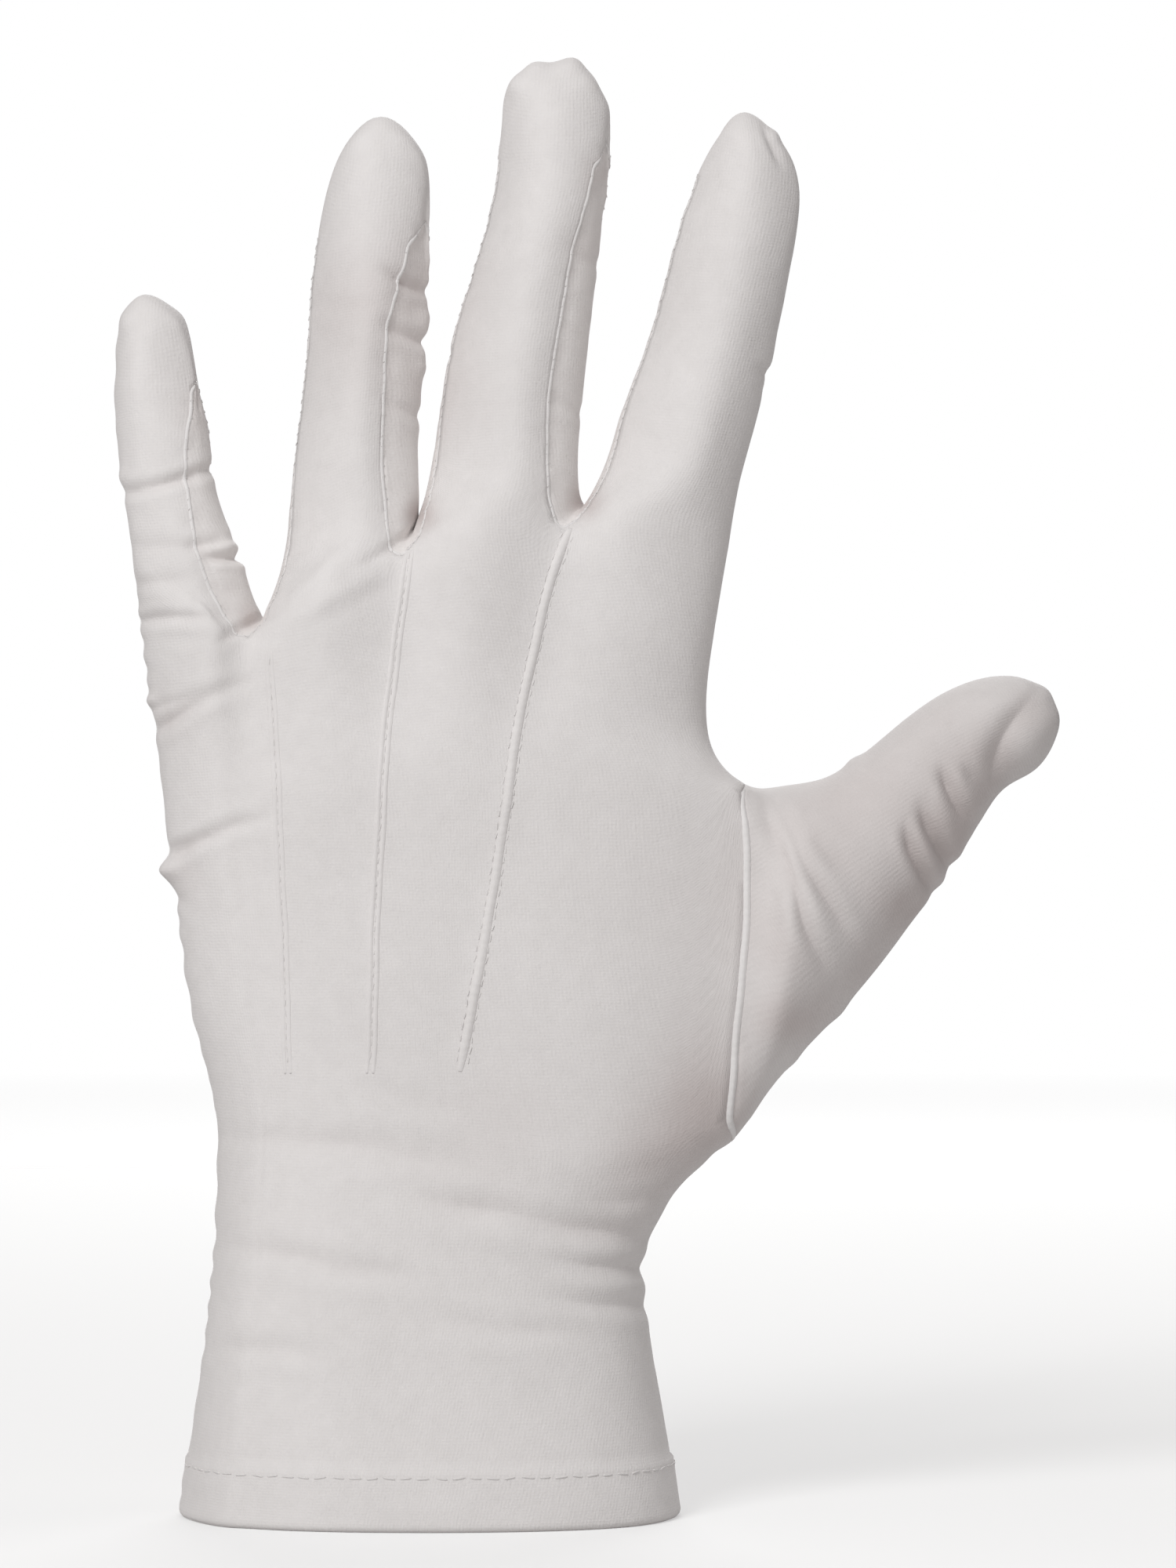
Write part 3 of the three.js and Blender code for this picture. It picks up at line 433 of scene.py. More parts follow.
# Colours of the knits, dark and light, and the depth of their relief.
KNITS = named("dark light relief", [
    ("glove_knit", (0.73, 0.706, 0.697, 1), (0.79, 0.766, 0.758, 1), 0.07),
    # Painted light: the fourchettes' knit is a lighter copy of the glove's knit, brightening strips that face
    # away from the light.
    ("fourchette_knit", (0.79, 0.757, 0.744, 1), (0.85, 0.823, 0.811, 1), 0.07),
    ("seam_knit", (0.75, 0.73, 0.722, 1), (0.81, 0.793, 0.787, 1), 0.05),
])
THREAD_COLOUR = (0.76, 0.74, 0.73)
THREAD_RELIEF = 0.05
THREAD_SHADES = (0.9, 1.05)
# Painted shade and the hand's pinkish tone through the cloth: the darker pink colour that the knit turns
# towards, how much of it shows, and over which range of the broad noise.
BLUSH_AND_SHADE_COLOUR = (0.48, 0.405, 0.39, 1)
BLUSH_AND_SHADE_SHARES = (0.25, 0.5)  # how much of the blush shows, from place to place
BLUSH_AND_SHADE_BROAD = (0.3, 0.7)  # as the broad noise goes from the first number to the second
WALE_PITCH = 0.55
COURSE_PITCH = 0.47
KNIT_WAVER = 5.0  # how far the rows of the knit waver
RIB_SCALES = (1900, 620, 1)  # of the fine uneven ribs along the wales
ROUGHNESS = (0.74, 0.9)
MOTTLE_MIDDLE = (0.32, 0.68)  # between these the colour goes from dark to light

# Noise in the materials, per metre, and what each kind of relief and mottling counts for.
NOISES = named("scale detail", [
    ("waver", 260, 1),
    ("grain", 2300, 2),
    ("broad", 38, 3),
    ("small", 360, 2),
    ("twist", 3800, 1),
])
RELIEF_SHARES = SimpleNamespace(wales=0.11, courses=0.08, grain=0.8, ribs=0.6)
MOTTLE_SHARES = SimpleNamespace(broad=0.6, small=0.4)

# The lights, in metres and watts, and the brighter side of the room, seen from the glove.
LIGHTS = table("name place size power", [
    ("key", (-0.4, -0.86, 0.8), 0.4, 7.2),
    ("side", (1, 0.1, 0.9), 0.6, 1.3),
    ("back", (0.1, 1.2, 0.7), 0.8, 7),
])
LIGHTS_TARGET = (0.02, 0, 0.12)
LIGHT_FROM = (-0.27, -0.75, 0.6)
ROOM_LEVELS = (0.085, 0.46)  # from its darkest to its brightest side
ROOM_COLOURS = ((1, 0.9, 0.87, 1), (1, 0.99, 0.985, 1))
LENS = 150
SENSOR_WIDTH = 36
FLOOR_RADIUS = 2.5
FLOOR_SIDES = 64
FLOOR_COLOUR = (0.95, 0.95, 0.95, 1)
FLOOR_ROUGHNESS = 0.9
FLOOR_FADE = (0.1, 1.6)  # it fades from the first to the second distance from the middle
FLOOR_ALPHA = 0.6

BACK_COLUMNS = 9  # from the little finger's side to the thumb's side, two steps to a finger
FORK_COLUMNS = (2, 4, 6)
LAST_ROW = len(HAND) - 1
LAST_COLUMN = BACK_COLUMNS - 1
HASH_FACTORS = (374761393, 668265263, 2147483647)
HASH_MIX = 1274126177


def lerp(a, b, share):
    return a + (b - a) * share


class Net:
    """Points, four-sided faces and the panel that each face belongs to."""

    def __init__(self):
        self.points = []
        self.faces = []
        self.panels = []

    def point(self, place):
        self.points.append(tuple(place))
        return len(self.points) - 1

    def face(self, corners, panel):
        self.faces.append(tuple(corners))
        self.panels.append(panel)

    def band(self, lower, upper, panel_of):
        """Faces between two loops of points, except where a loop has None for a point."""
        for i in range(len(lower)):
            j = (i + 1) % len(lower)
            corners = (lower[i], lower[j], upper[j], upper[i])
            if None not in corners:
                self.face(corners, panel_of(i))


def section_depth(x, left, right):
    """Depth of a rounded section at x, as a share of its full depth."""
    across = abs(x - (left + right) / 2) / ((right - left) / 2)
    return max(0, 1 - across ** SECTION_POWER) ** (1 / SECTION_POWER)


def fork_line_x(line, z, front, rise):
    along = max(0, (z - line.wrist_z) / (line.top_z - line.wrist_z))
    return lerp(line.wrist_x, line.top_x, along) + (line.front_shift * rise if front else 0)


def column_xs(ring, front):
    """The nine column positions across the back or the palm side of one ring of the hand."""
    corner = lerp((ring.left_x + ring.right_x) / 2, ring.left_x, CORNER_REACH)
    root_height = (ring.left_z + ring.right_z) / 2 + ROOT_RISE * ring.rise
    forks = [fork_line_x(line, root_height, front, ring.rise) for line in FORK_LINES]
    marks = [corner, *forks, ring.seam_front if front else ring.seam_back]
    xs = []
    for a, b in zip(marks, marks[1:]):
        xs += [a, (a + b) / 2]
    return xs + [marks[-1]]


def add_hand_side(net, ring, front):
    """The points of one ring of the hand across its back or its palm side."""
    numbers = []
    for column, x in enumerate(column_xs(ring, front)):
        across = (x - ring.left_x) / (ring.right_x - ring.left_x)
        drop = ring.drop if column == LAST_COLUMN else 0
        z = lerp(ring.left_z, ring.right_z, across) + ROOT_ARCH[column] * ring.rise - drop
        dip = 1 - FORK_DIP * ring.rise ** 2 if column in FORK_COLUMNS else 1
        depth = section_depth(x, ring.left_x, ring.right_x) * dip
        if column == LAST_COLUMN:
            depth = max(depth, LEAST_SEAM_DEPTH)
        numbers.append(net.point((x, ring.front * depth if front else -ring.back * depth, z)))
    return numbers


def add_hand(net):
    """The rings of the hand. Within the thumb's opening the point on the thumb's side is left out."""
    rings = []
    for row, ring in enumerate(HAND):
        in_opening = THUMB_FIRST_ROW < row < THUMB_LAST_ROW
        back = add_hand_side(net, ring, False)
        right = None if in_opening else net.point((ring.right_x, SIDE_Y, ring.right_z))
        front = add_hand_side(net, ring, True)
        left = net.point((ring.left_x, SIDE_Y, ring.left_z))
        rings.append(SimpleNamespace(back=back, right=right, front=front, left=left))
    loops = [[*r.back, r.right, *r.front[::-1], r.left] for r in rings]
    for lower, upper in zip(loops, loops[1:]):
        net.band(lower, upper, lambda i: "trank")
    return rings


def add_oval(net, left, right, depth, y, roll, angles):
    """A closed loop of points round a rolled oval. Angles run from the right side over the back."""
    centre = np.array([(left[0] + right[0]) / 2, y, (left[1] + right[1]) / 2])
    across = np.array([right[0] - left[0], 0, right[1] - left[1]])
    half_width = np.linalg.norm(across) / 2
    across /= 2 * half_width
    outward = np.array([0, -1, 0])
    side = across * math.cos(roll) + outward * math.sin(roll)
    back = outward * math.cos(roll) - across * math.sin(roll)
    return [
        net.point(centre + side * half_width * math.cos(a) + back * depth / 2 * math.sin(a))
        for a in angles
    ]


def finger_panel(index, row, i):
    """The panel of face i between two rings of a finger."""
    if row < FOURCHETTE_RINGS and i in (2, 3) and index < len(FORKS):
        return FOURCHETTES[index]
    if row < FOURCHETTE_RINGS and i in (6, 7) and index > 0:
        return FOURCHETTES[index - 1]
    return "trank"


def sharpen_fourchettes(net, loops, index):
    """Moves the middle of each fourchette's end up the finger, so that its two seams meet in a point."""
    last, above = (loops[FOURCHETTE_RINGS + step] for step in (0, 1))
    for i in ([3] if index < len(FORKS) else []) + ([7] if index > 0 else []):
        here, there = np.array(net.points[last[i]]), np.array(net.points[above[i]])
        net.points[last[i]] = tuple(lerp(here, there, FINGERS[index].point))


def finger_loop(net, ring, beside_strip, row):
    """Three points on the back, one on the right, three on the palm side and one on the left."""
    w = ring.web
    turn = max(0, w - ring.roll - LEFT_WEBS[row]) if beside_strip and row < len(LEFT_WEBS) else 0
    angles = [180 - w + turn, 90, ring.right_web, 0, -w, turn / 2 - 90, w + turn - 180, 180 + turn]
    left, right = (ring.left_x, ring.left_z), (ring.right_x, ring.right_z)
    return add_oval(net, left, right, ring.depth, ring.y, math.radians(ring.roll), np.radians(angles))


def close_finger(net, last, place):
    """The four faces round a fingertip."""
    tip = net.point(place)
    net.face((last[0], last[1], tip, last[7]), "trank")
    net.face((last[1], last[2], last[3], tip), "trank")
    net.face((tip, last[3], last[4], last[5]), "trank")
    net.face((last[7], tip, last[5], last[6]), "trank")
    return tip


def add_fingers(net, hand):
    """The first loop of each finger is made of points of the hand's last ring and the forks."""
    forks = [net.point(place) for place in FORKS]
    roots = hand[LAST_ROW]
    fingers = []
    for index, finger in enumerate(FINGERS):
        c = index * 2
        loops = [[
            *roots.back[c:c + 3],
            forks[index] if index < len(forks) else roots.right,
            *roots.front[c:c + 3][::-1],
            forks[index - 1] if index > 0 else roots.left,
        ]]
        loops += [finger_loop(net, ring, index > 0, row) for row, ring in enumerate(finger.rings)]
        sharpen_fourchettes(net, loops, index)
        for row, (lower, upper) in enumerate(zip(loops, loops[1:])):
            net.band(lower, upper, lambda i: finger_panel(index, row, i))
        fingers.append(SimpleNamespace(loops=loops, tip=close_finger(net, loops[-1], finger.tip)))
    return fingers


def thumb_opening(hand):
    """The edge of the thumb's opening, down the back and up the palm side."""
    opening = hand[THUMB_FIRST_ROW:THUMB_LAST_ROW + 1]
    back = [ring.back[LAST_COLUMN] for ring in opening]
    front = [ring.front[LAST_COLUMN] for ring in opening]
    return [*back[::-1], opening[0].right, *front, opening[-1].right]


def close_thumb(net, end):
    """Two rows of four faces, which meet on a ridge of three points over the thumb's end."""
    ring = THUMB[-1]
    width = np.array([ring.bottom_x - ring.top_x, 0, ring.bottom_z - ring.top_z])
    axis = np.array([-width[2], 0, width[0]]) / np.linalg.norm(width)
    ridge = [end[11]]
    for step in (-1, 0, 1):
        place = np.array(THUMB_TIP) + width * step * THUMB_RIDGE_STEP - axis * abs(step) * THUMB_RIDGE_FALL
        ridge.append(net.point(place))
    ridge.append(end[5])
    for i in range(4):
        net.face((end[i], end[i + 1], ridge[i + 1], ridge[i]), "thumb")
        net.face((ridge[i], ridge[i + 1], end[9 - i], end[10 - i]), "thumb")


def add_thumb(net, hand):
    """The thumb's loops run down its back, round its lower side, up its palm side and over its upper
    side. The first is the edge of the opening in the hand."""
    loops = [thumb_opening(hand)]
    sides = len(loops[0])
    angles = [math.radians(THUMB_START - 360 / sides * i) for i in range(sides)]
    for ring in THUMB:
        top, bottom = (ring.top_x, ring.top_z), (ring.bottom_x, ring.bottom_z)
        loops.append(add_oval(net, top, bottom, ring.depth, ring.y, 0, angles))
    for inner, outer in zip(loops, loops[1:]):
        net.band(inner, outer, lambda i: "thumb")
    close_thumb(net, loops[-1])


def gather(index, values, count):
    """For each of count points, the sum of the values that index sends to it."""
    return np.stack([np.bincount(index, column, count) for column in values.T], axis=1)


def connect(faces, count):
    """Edges of a net, the edge on each side of each face, and for each point its numbers of faces and
    edges and whether it lies on the open rim."""
    ahead = np.roll(faces, -1, axis=1)
    low, high = np.minimum(faces, ahead), np.maximum(faces, ahead)
    keys, sides = np.unique((low * count + high).ravel(), return_inverse=True)
    edges = np.stack([keys // count, keys % count], axis=1)
    rim_edges = edges[np.bincount(sides, minlength=len(edges)) == 1]
    rim = np.zeros(count, bool)
    rim[rim_edges] = True
    return SimpleNamespace(
        count=count, keys=keys, edges=edges, sides=sides.reshape(-1, 4), faces=faces, rim=rim,
        rim_edges=rim_edges, face_count=np.bincount(faces.ravel(), minlength=count),
        edge_count=np.bincount(edges.ravel(), minlength=count),
    )


def neighbour_sums(points, net):
    """Sums over the neighbours along edges and along the open rim."""
    both = np.concatenate([net.edges, net.edges[:, ::-1]])
    rim_both = np.concatenate([net.rim_edges, net.rim_edges[:, ::-1]])
    near = gather(both[:, 0], points[both[:, 1]], net.count)
    return near, gather(rim_both[:, 0], points[rim_both[:, 1]], net.count)


def smooth(points, net):
    """Where each point of the net ends up on the smooth surface that the net stands for."""
    near, rim_near = neighbour_sums(points, net)
    across = points[np.roll(net.faces, -2, axis=1)].reshape(-1, points.shape[1])
    corners = gather(net.faces.ravel(), across, net.count)
    n = net.edge_count[:, None]
    inside = (points * n * n + near * 4 + corners) / (n * (n + 5))
    return np.where(net.rim[:, None], (rim_near + points * 4) / 6, inside)


def divide(points, net):
    """One step of smooth division. Points keep their numbers, then come the edges' and the faces'."""
    centres = points[net.faces].mean(axis=1)
    near, rim_near = neighbour_sums(points, net)
    around = gather(net.faces.ravel(), np.repeat(centres, 4, axis=0), net.count)
    n = net.edge_count[:, None]
    moved = (around / net.face_count[:, None] + near / n + points * (n - 2)) / n
    moved = np.where(net.rim[:, None], points * 0.75 + rim_near / 8, moved)
    ends = points[net.edges].sum(axis=1)
    beside = gather(net.sides.ravel(), np.repeat(centres, 4, axis=0), len(net.edges))
    on_rim = np.bincount(net.sides.ravel(), minlength=len(net.edges)) == 1
    middles = np.where(on_rim[:, None], ends / 2, (ends + beside) / 4)
    ahead = net.count + net.sides
    centre = np.repeat(net.count + len(net.edges) + np.arange(len(net.faces)), 4).reshape(-1, 4)
    children = np.stack([net.faces, ahead, centre, np.roll(ahead, 1, axis=1)], axis=2)
    return np.concatenate([moved, middles, centres]), children.reshape(-1, 4)


def middle_numbers(net, a, b):
    """Numbers of the new points on the edges between points a and b."""
    low, high = np.minimum(a, b), np.maximum(a, b)
    return net.count + np.searchsorted(net.keys, low * net.count + high)


def fit(points, net):
    """Moves the net's points until its smooth surface passes through the places in the tables."""
    cage = points.copy()
    for _ in range(FITTING_ROUNDS):
        cage += points - smooth(cage, net)
    return cage


def point_normals(points, faces):
    a, b, c, d = (points[faces[:, i]] for i in range(4))
    normals = gather(faces.ravel(), np.repeat(np.cross(c - a, d - b), 4, axis=0), len(points))
    return normals / np.maximum(np.linalg.norm(normals, axis=1, keepdims=True), 1e-12)


def lengths_along(chain):
    """How far each point of a chain lies from the first one."""
    return np.concatenate([[0], np.cumsum(np.linalg.norm(np.diff(chain, axis=0), axis=1))])


def knit_places(points, hand, fingers):
    """Where each point of the net lies in the flat knit: across from the little finger's side, and up
    from the wrist. Both sides of the hand start at that side, so that the knit has no jump."""
    places = np.zeros((len(points), 2))
    for ring in hand:
        for side in (ring.back, ring.front):
            chain = [ring.left, *side] + ([] if ring.right is None else [ring.right])
            places[chain, 0] = lengths_along(points[chain])
            places[chain, 1] = points[chain, 2]
    for index, finger in enumerate(fingers):
        root = hand[LAST_ROW]
        height = points[finger.loops[0], 2].mean()
        before = points[finger.loops[0]].mean(axis=0)
        for loop in finger.loops[1:]:
            centre = points[loop].mean(axis=0)
            height += np.linalg.norm(centre - before)
            before = centre
            for side, middle in ((1, root.back), (5, root.front)):
                start = places[middle[index * 2 + 1], 0]
                for turn in (1, -1):
                    chain = [loop[(side + turn * step) % 8] for step in range(3)]
                    grows = turn if side == 1 else -turn
                    places[chain, 0] = start + grows * lengths_along(points[chain])
            places[loop, 1] = height
        places[finger.tip] = places[finger.loops[-1][1]]
        places[finger.tip, 1] += np.linalg.norm(points[finger.tip] - before)
    return places


def soft_step(t):
    """0 up to 0, 1 from 1 on, with a smooth rise between them."""
    t = np.clip(t, 0, 1)
    return t * t * (3 - 2 * t)


def fade(share, width):
    """0 at both ends of a stretch, 1 in the middle, with smooth ends."""
    return soft_step(np.minimum(share, 1 - share) / width)


def seen(points):
    """X and Z at which the camera sees each point, on the plane through the glove's middle."""
    scale = CAMERA_DISTANCE / (CAMERA_DISTANCE + points[:, 1:2] - MIDDLE[1])
    return MIDDLE[[0, 2]] + (points[:, [0, 2]] - MIDDLE[[0, 2]]) * scale


def sway(along, wave, phase=0.0):
    """A wave along a line, given as its size and its length over 2 pi."""
    size, length = wave
    return size * np.sin(along / length + phase)


def facing(item, normals):
    """How much of a fold or spot shows on cloth with these normals."""
    return np.clip(FOLD_WRAP + item.side * normals[:, 1], 0, 1) if item.side else 1


def add_fold(heights, places, normals, fold):
    """Presses a fold into the heights: a valley with a lip on each side, which fades out at its ends."""
    start = np.array([fold.x1, fold.z1])
    line = np.array([fold.x2, fold.z2]) - start
    length = np.linalg.norm(line)
    offset = places - start
    share = offset @ line / length ** 2
    across = (offset[:, 0] * line[1] - offset[:, 1] * line[0]) / length / fold.width
    reach = LIP_REACH + FOLD_MARGIN + abs(fold.bow) / fold.width
    near = np.flatnonzero((share > 0) & (share < 1) & (abs(across) < reach))
    share, across = share[near], across[near]
    travel = share * length
    bend = fold.bow * 4 * share * (1 - share) + sway(travel, FOLD_WANDER, fold.x1 * FOLD_PHASES[0])
    across = across - bend / fold.width
    valley = -np.exp(-abs(across) ** CREASE_POWER)
    for lip in (-LIP_REACH, LIP_REACH):
        valley = valley + fold.lip * np.exp(-(across - lip) ** 2)
    strength = 1 + sway(travel, FOLD_SURGE, fold.x1 * FOLD_PHASES[1])
    heights[near] += fold.depth * strength * facing(fold, normals[near]) * fade(share, FOLD_FADE) * valley


def hashed(cells, seed):
    """A repeatable number from -1 to 1 for each whole-numbered cell."""
    x, y, z = (cells[:, i].astype(np.uint32) * np.uint32(factor) for i, factor in enumerate(HASH_FACTORS))
    h = x + y + z + np.uint32(seed)
    h = (h ^ (h >> np.uint32(13))) * np.uint32(HASH_MIX)
    h = h ^ (h >> np.uint32(16))
    return h.astype(np.float64) / 2 ** 31 - 1


def unevenness(points, lumps):
    """Smooth noise with lumps of the given height and size."""
    scaled = points / np.array(lumps.size) + 1000  # keeps the cells' numbers above 0
    cell = np.floor(scaled).astype(np.int64)
    part = scaled - cell
    part = part * part * (3 - 2 * part)
    total = 0
    for corner in np.ndindex(2, 2, 2):
        step = np.array(corner)
        weight = np.prod(np.where(step, part, 1 - part), axis=1)
        total = total + weight * hashed(cell + step, lumps.seed)
    return lumps.height * total


def nearest_on_path(points, path, reach):
    """The points within reach of a path, with their distance from it and how far along it they lie."""
    low, high = path.min(axis=0) - reach, path.max(axis=0) + reach
    close = np.flatnonzero(np.all((points > low) & (points < high), axis=1))
    along = lengths_along(path)
    distance, place = np.empty(len(close)), np.empty(len(close))
    for first in range(0, len(close), POINTS_AT_ONCE):
        part = slice(first, first + POINTS_AT_ONCE)
        gaps = np.linalg.norm(points[close[part], None] - path[None], axis=2)
        best = gaps.argmin(axis=1)
        distance[part] = gaps[np.arange(len(gaps)), best]
        place[part] = along[best]
    keep = distance < reach
    return close[keep], distance[keep], place[keep]


def distance_to_line(places, line):
    """Distance of each place in the plane from a line through several places."""
    nearest = np.full(len(places), np.inf)
    for start, end in zip(np.array(line[:-1]), np.array(line[1:])):
        share = np.clip((places - start) @ (end - start) / np.sum((end - start) ** 2), 0, 1)
        nearest = np.minimum(nearest, np.linalg.norm(places - start - share[:, None] * (end - start), axis=1))
    return nearest


def add_seam_puckers(heights, skin, seam):
    """The small waves of the cloth along a seam, and the hollow beside it in a fourchette."""
    points = skin.smooth_points
    close, distance, place = nearest_on_path(points, points[seam.numbers], seam.pucker_reach * 3)
    wave = np.sin(place * 2 * math.pi / seam.pucker_pitch + sway(place, PUCKER_DRIFT) + seam.phase)
    swell = PUCKER_MEAN + sway(place, PUCKER_SURGE, seam.phase * 3)
    heights[close] += seam.pucker * wave * swell * np.exp(-(distance / seam.pucker_reach) ** 2)
    hollow = np.exp(-((distance - DITCH_PLACE) / DITCH_REACH) ** 2)
    hollow *= 1 + sway(place, DITCH_LUMPS, seam.phase)
    heights[close] -= seam.ditch * hollow * skin.in_strip[close]


def distance_to_spot(places, spot):
    """Distance of each place from the middle of a spot, in radii of the spot."""
    return np.hypot(places[:, 0] - spot.x, places[:, 1] - spot.z) / spot.radius


def blush(skin):
    """How strongly the colour turns darker and pinkish at each point: partly the hand showing through the
    cloth, partly painted shade in the folds and in the listed spots.
    """
    places, amount = seen(skin.smooth_points), np.clip(-skin.heights, 0, 1) * SHADE_IN_FOLDS
    for spot in BLUSH_AND_SHADE_SPOTS:
        amount += spot.amount * facing(spot, skin.normals) * np.exp(-distance_to_spot(places, spot) ** 2)
    return np.clip(amount, 0, MOST_BLUSH_AND_SHADE)


def press(skin):
    """Heights of the folds, puckers and soft unevenness over the smooth skin."""
    points, normals = skin.smooth_points, skin.normals
    heights = sum(unevenness(points, lumps) for lumps in LUMPS)
    for start, full in SLACK_REACHES:
        heights += np.clip((points[:, 2] - start) / (full - start), 0, 1) * unevenness(points, SLACK_LUMPS)
    places = seen(points)
    for fold in FOLDS:
        add_fold(heights, places, normals, fold)
    for swelling in SWELLINGS:
        heights += swelling.height * np.exp(-distance_to_spot(places, swelling) ** 2)
    for seam in skin.seams:
        add_seam_puckers(heights, skin, seam)
    back = np.clip(-normals[:, 1] * BACK_RISE, 0, 1)
    for point in POINTS:
        away = distance_to_line(places, point.places) / POINT_SWELL_REACH
        heights += POINT_SWELL * back * np.exp(-away ** 2)
    heights *= np.clip(points[:, 2] / STILL_HEIGHT, 0, 1)
    return heights + HEM_SWELL * soft_step((HEM_HEIGHT - points[:, 2]) / HEM_STEP)


def refine_chain(chain, nets):
    """A chain of points of the coarse net, with the points that each division adds between them."""
    numbers = np.array(chain)
    for net in nets:
        middles = middle_numbers(net, numbers[:-1], numbers[1:])
        longer = np.empty(len(numbers) * 2 - 1, int)
        longer[::2], longer[1::2] = numbers, middles
        numbers = longer
    return numbers


def make_mesh(name, points, polygons, smooth_faces):
    """An object in the scene, from points in millimetres."""
    mesh = bpy.data.meshes.new(name)
    mesh.from_pydata((np.asarray(points) * MM).tolist(), [], polygons)
    mesh.polygons.foreach_set("use_smooth", smooth_faces)
    mesh.update()
    piece = bpy.data.objects.new(name, mesh)
    bpy.context.scene.collection.objects.link(piece)
    return piece


def open_edges(polygons):
    """Directed edges of polygons that no other polygon shares."""
    directed = {(a, b) for p in polygons for a, b in zip(p, p[1:] + p[:1])}
    return [(a, b) for a, b in directed if (b, a) not in directed]


def face_levels(skin):
    """How finely each face of the net is divided: more where the cloth is folded, and at most one level
    more than the face beside it."""
    net = skin.nets[0]
    front = skin.normals[net.faces].mean(axis=1)[:, 1] > PALM_FACING
    spread = np.ptp(skin.heights[skin.faces[-1]].reshape(len(net.faces), -1), axis=1)
    levels = np.full(len(net.faces), PLAIN_LEVEL)
    for level, least in FOLDED:
        levels[spread > least] = level
    levels = np.where(front, np.minimum(levels, FINEST_LEVEL - 1), levels)
    for _ in range(FINEST_LEVEL - PLAIN_LEVEL):
        highest = np.zeros(len(net.edges), int)
        np.maximum.at(highest, net.sides, levels[:, None])
        levels = np.maximum(levels, highest[net.sides].max(axis=1) - 1)
    return levels


def outer_polygons(skin, panel):
    """The outer faces of a panel. A face beside more finely divided ones also takes the points in the
    middle of their shared edges."""
    of_panel = skin.panel_of[panel]
    polygons = []
    for level in range(PLAIN_LEVEL, FINEST_LEVEL + 1):
        net = skin.nets[level]
        here = np.repeat(of_panel & (skin.levels == level), 4 ** level)
        finer = np.repeat(of_panel & (skin.levels > level), 4 ** level)
        shared = (np.bincount(net.sides[finer].ravel(), minlength=len(net.edges)) > 0).tolist()
        for face, sides in zip(net.faces[here].tolist(), net.sides[here].tolist()):
            polygon = []
            for corner, side in zip(face, sides):
                polygon += [corner, net.count + side] if shared[side] else [corner]
            polygons.append(polygon)
    return polygons


def inner_places(skin):
    """The inside of the cloth: a wall's thickness in, and under the deepest fold nearby."""
    faces = skin.faces[INNER_LEVEL]
    lowest = skin.heights[skin.faces[-1]].reshape(len(faces), -1).min(axis=1)
    depth = np.zeros(len(skin.smooth_points))
    np.minimum.at(depth, faces, lowest[:, None])
    thickness = WALL + np.where(skin.smooth_points[:, 2] < HEM_HEIGHT, HEM_SWELL, 0)
    return skin.smooth_points + skin.normals * (depth - thickness)[:, None]


def setbacks(skin, outer, rim):
    """How each point on a panel's seam edge moves into the panel, off the seam line."""
    moves = {}
    centres = {}
    for polygon in outer:
        for k in polygon:
            if k in rim:
                centres.setdefault(k, []).append(skin.points[polygon].mean(axis=0))
    for k, near in centres.items():
        inward = np.mean(near, axis=0) - skin.points[k]
        moves[k] = inward / np.linalg.norm(inward) * SEAM_SETBACK
    return moves


class Shell:
    """Points and polygons of a panel's closed shell of cloth."""

    def __init__(self, skin, moves):
        self.skin, self.moves = skin, moves
        self.points, self.numbers, self.polygons, self.soft = [], {}, [], []

    def place(self, k, step):
        """Point k of the skin: step 0 is outside, TURN_STEPS is inside, and the others are in the turn."""
        a, b = self.skin.points[k], self.skin.inner_points[k]
        if step in (0, TURN_STEPS):
            return (b if step else a) + self.moves.get(k, 0)
        angle = math.pi * step / TURN_STEPS
        down = np.array([0, 0, -1]) * np.linalg.norm(a - b) / 2
        return (a + b) / 2 + (a - b) / 2 * math.cos(angle) + down * math.sin(angle)

    def face(self, corners, soft=True):
        """A polygon. Each corner is a point of the skin with its step, as for place."""
        for corner in corners:
            if corner not in self.numbers:
                self.numbers[corner] = len(self.points)
                self.points.append(self.place(*corner))
        self.polygons.append([self.numbers[corner] for corner in corners])
        self.soft.append(soft)

    def close(self, chain, turned):
        """The cut or turned edge beside one edge of the inner face. The chain holds the outer points
        between its ends."""
        last = TURN_STEPS - 1 if turned else 0
        back = chain[::-1]
        for step in range(last):
            for c, d in zip(back, back[1:]):
                self.face([(c, step), (d, step), (d, step + 1), (c, step + 1)])
        self.face([*[(k, last) for k in back], (chain[0], TURN_STEPS), (chain[-1], TURN_STEPS)], turned)


def add_attribute(piece, name, values):
    """A number or a place for each point of a mesh, which its material reads."""
    kind, field = ("FLOAT", "value") if values.ndim == 1 else ("FLOAT_VECTOR", "vector")
    attribute = piece.data.attributes.new(name, kind, "POINT")
    attribute.data.foreach_set(field, values.astype(np.float32).ravel())


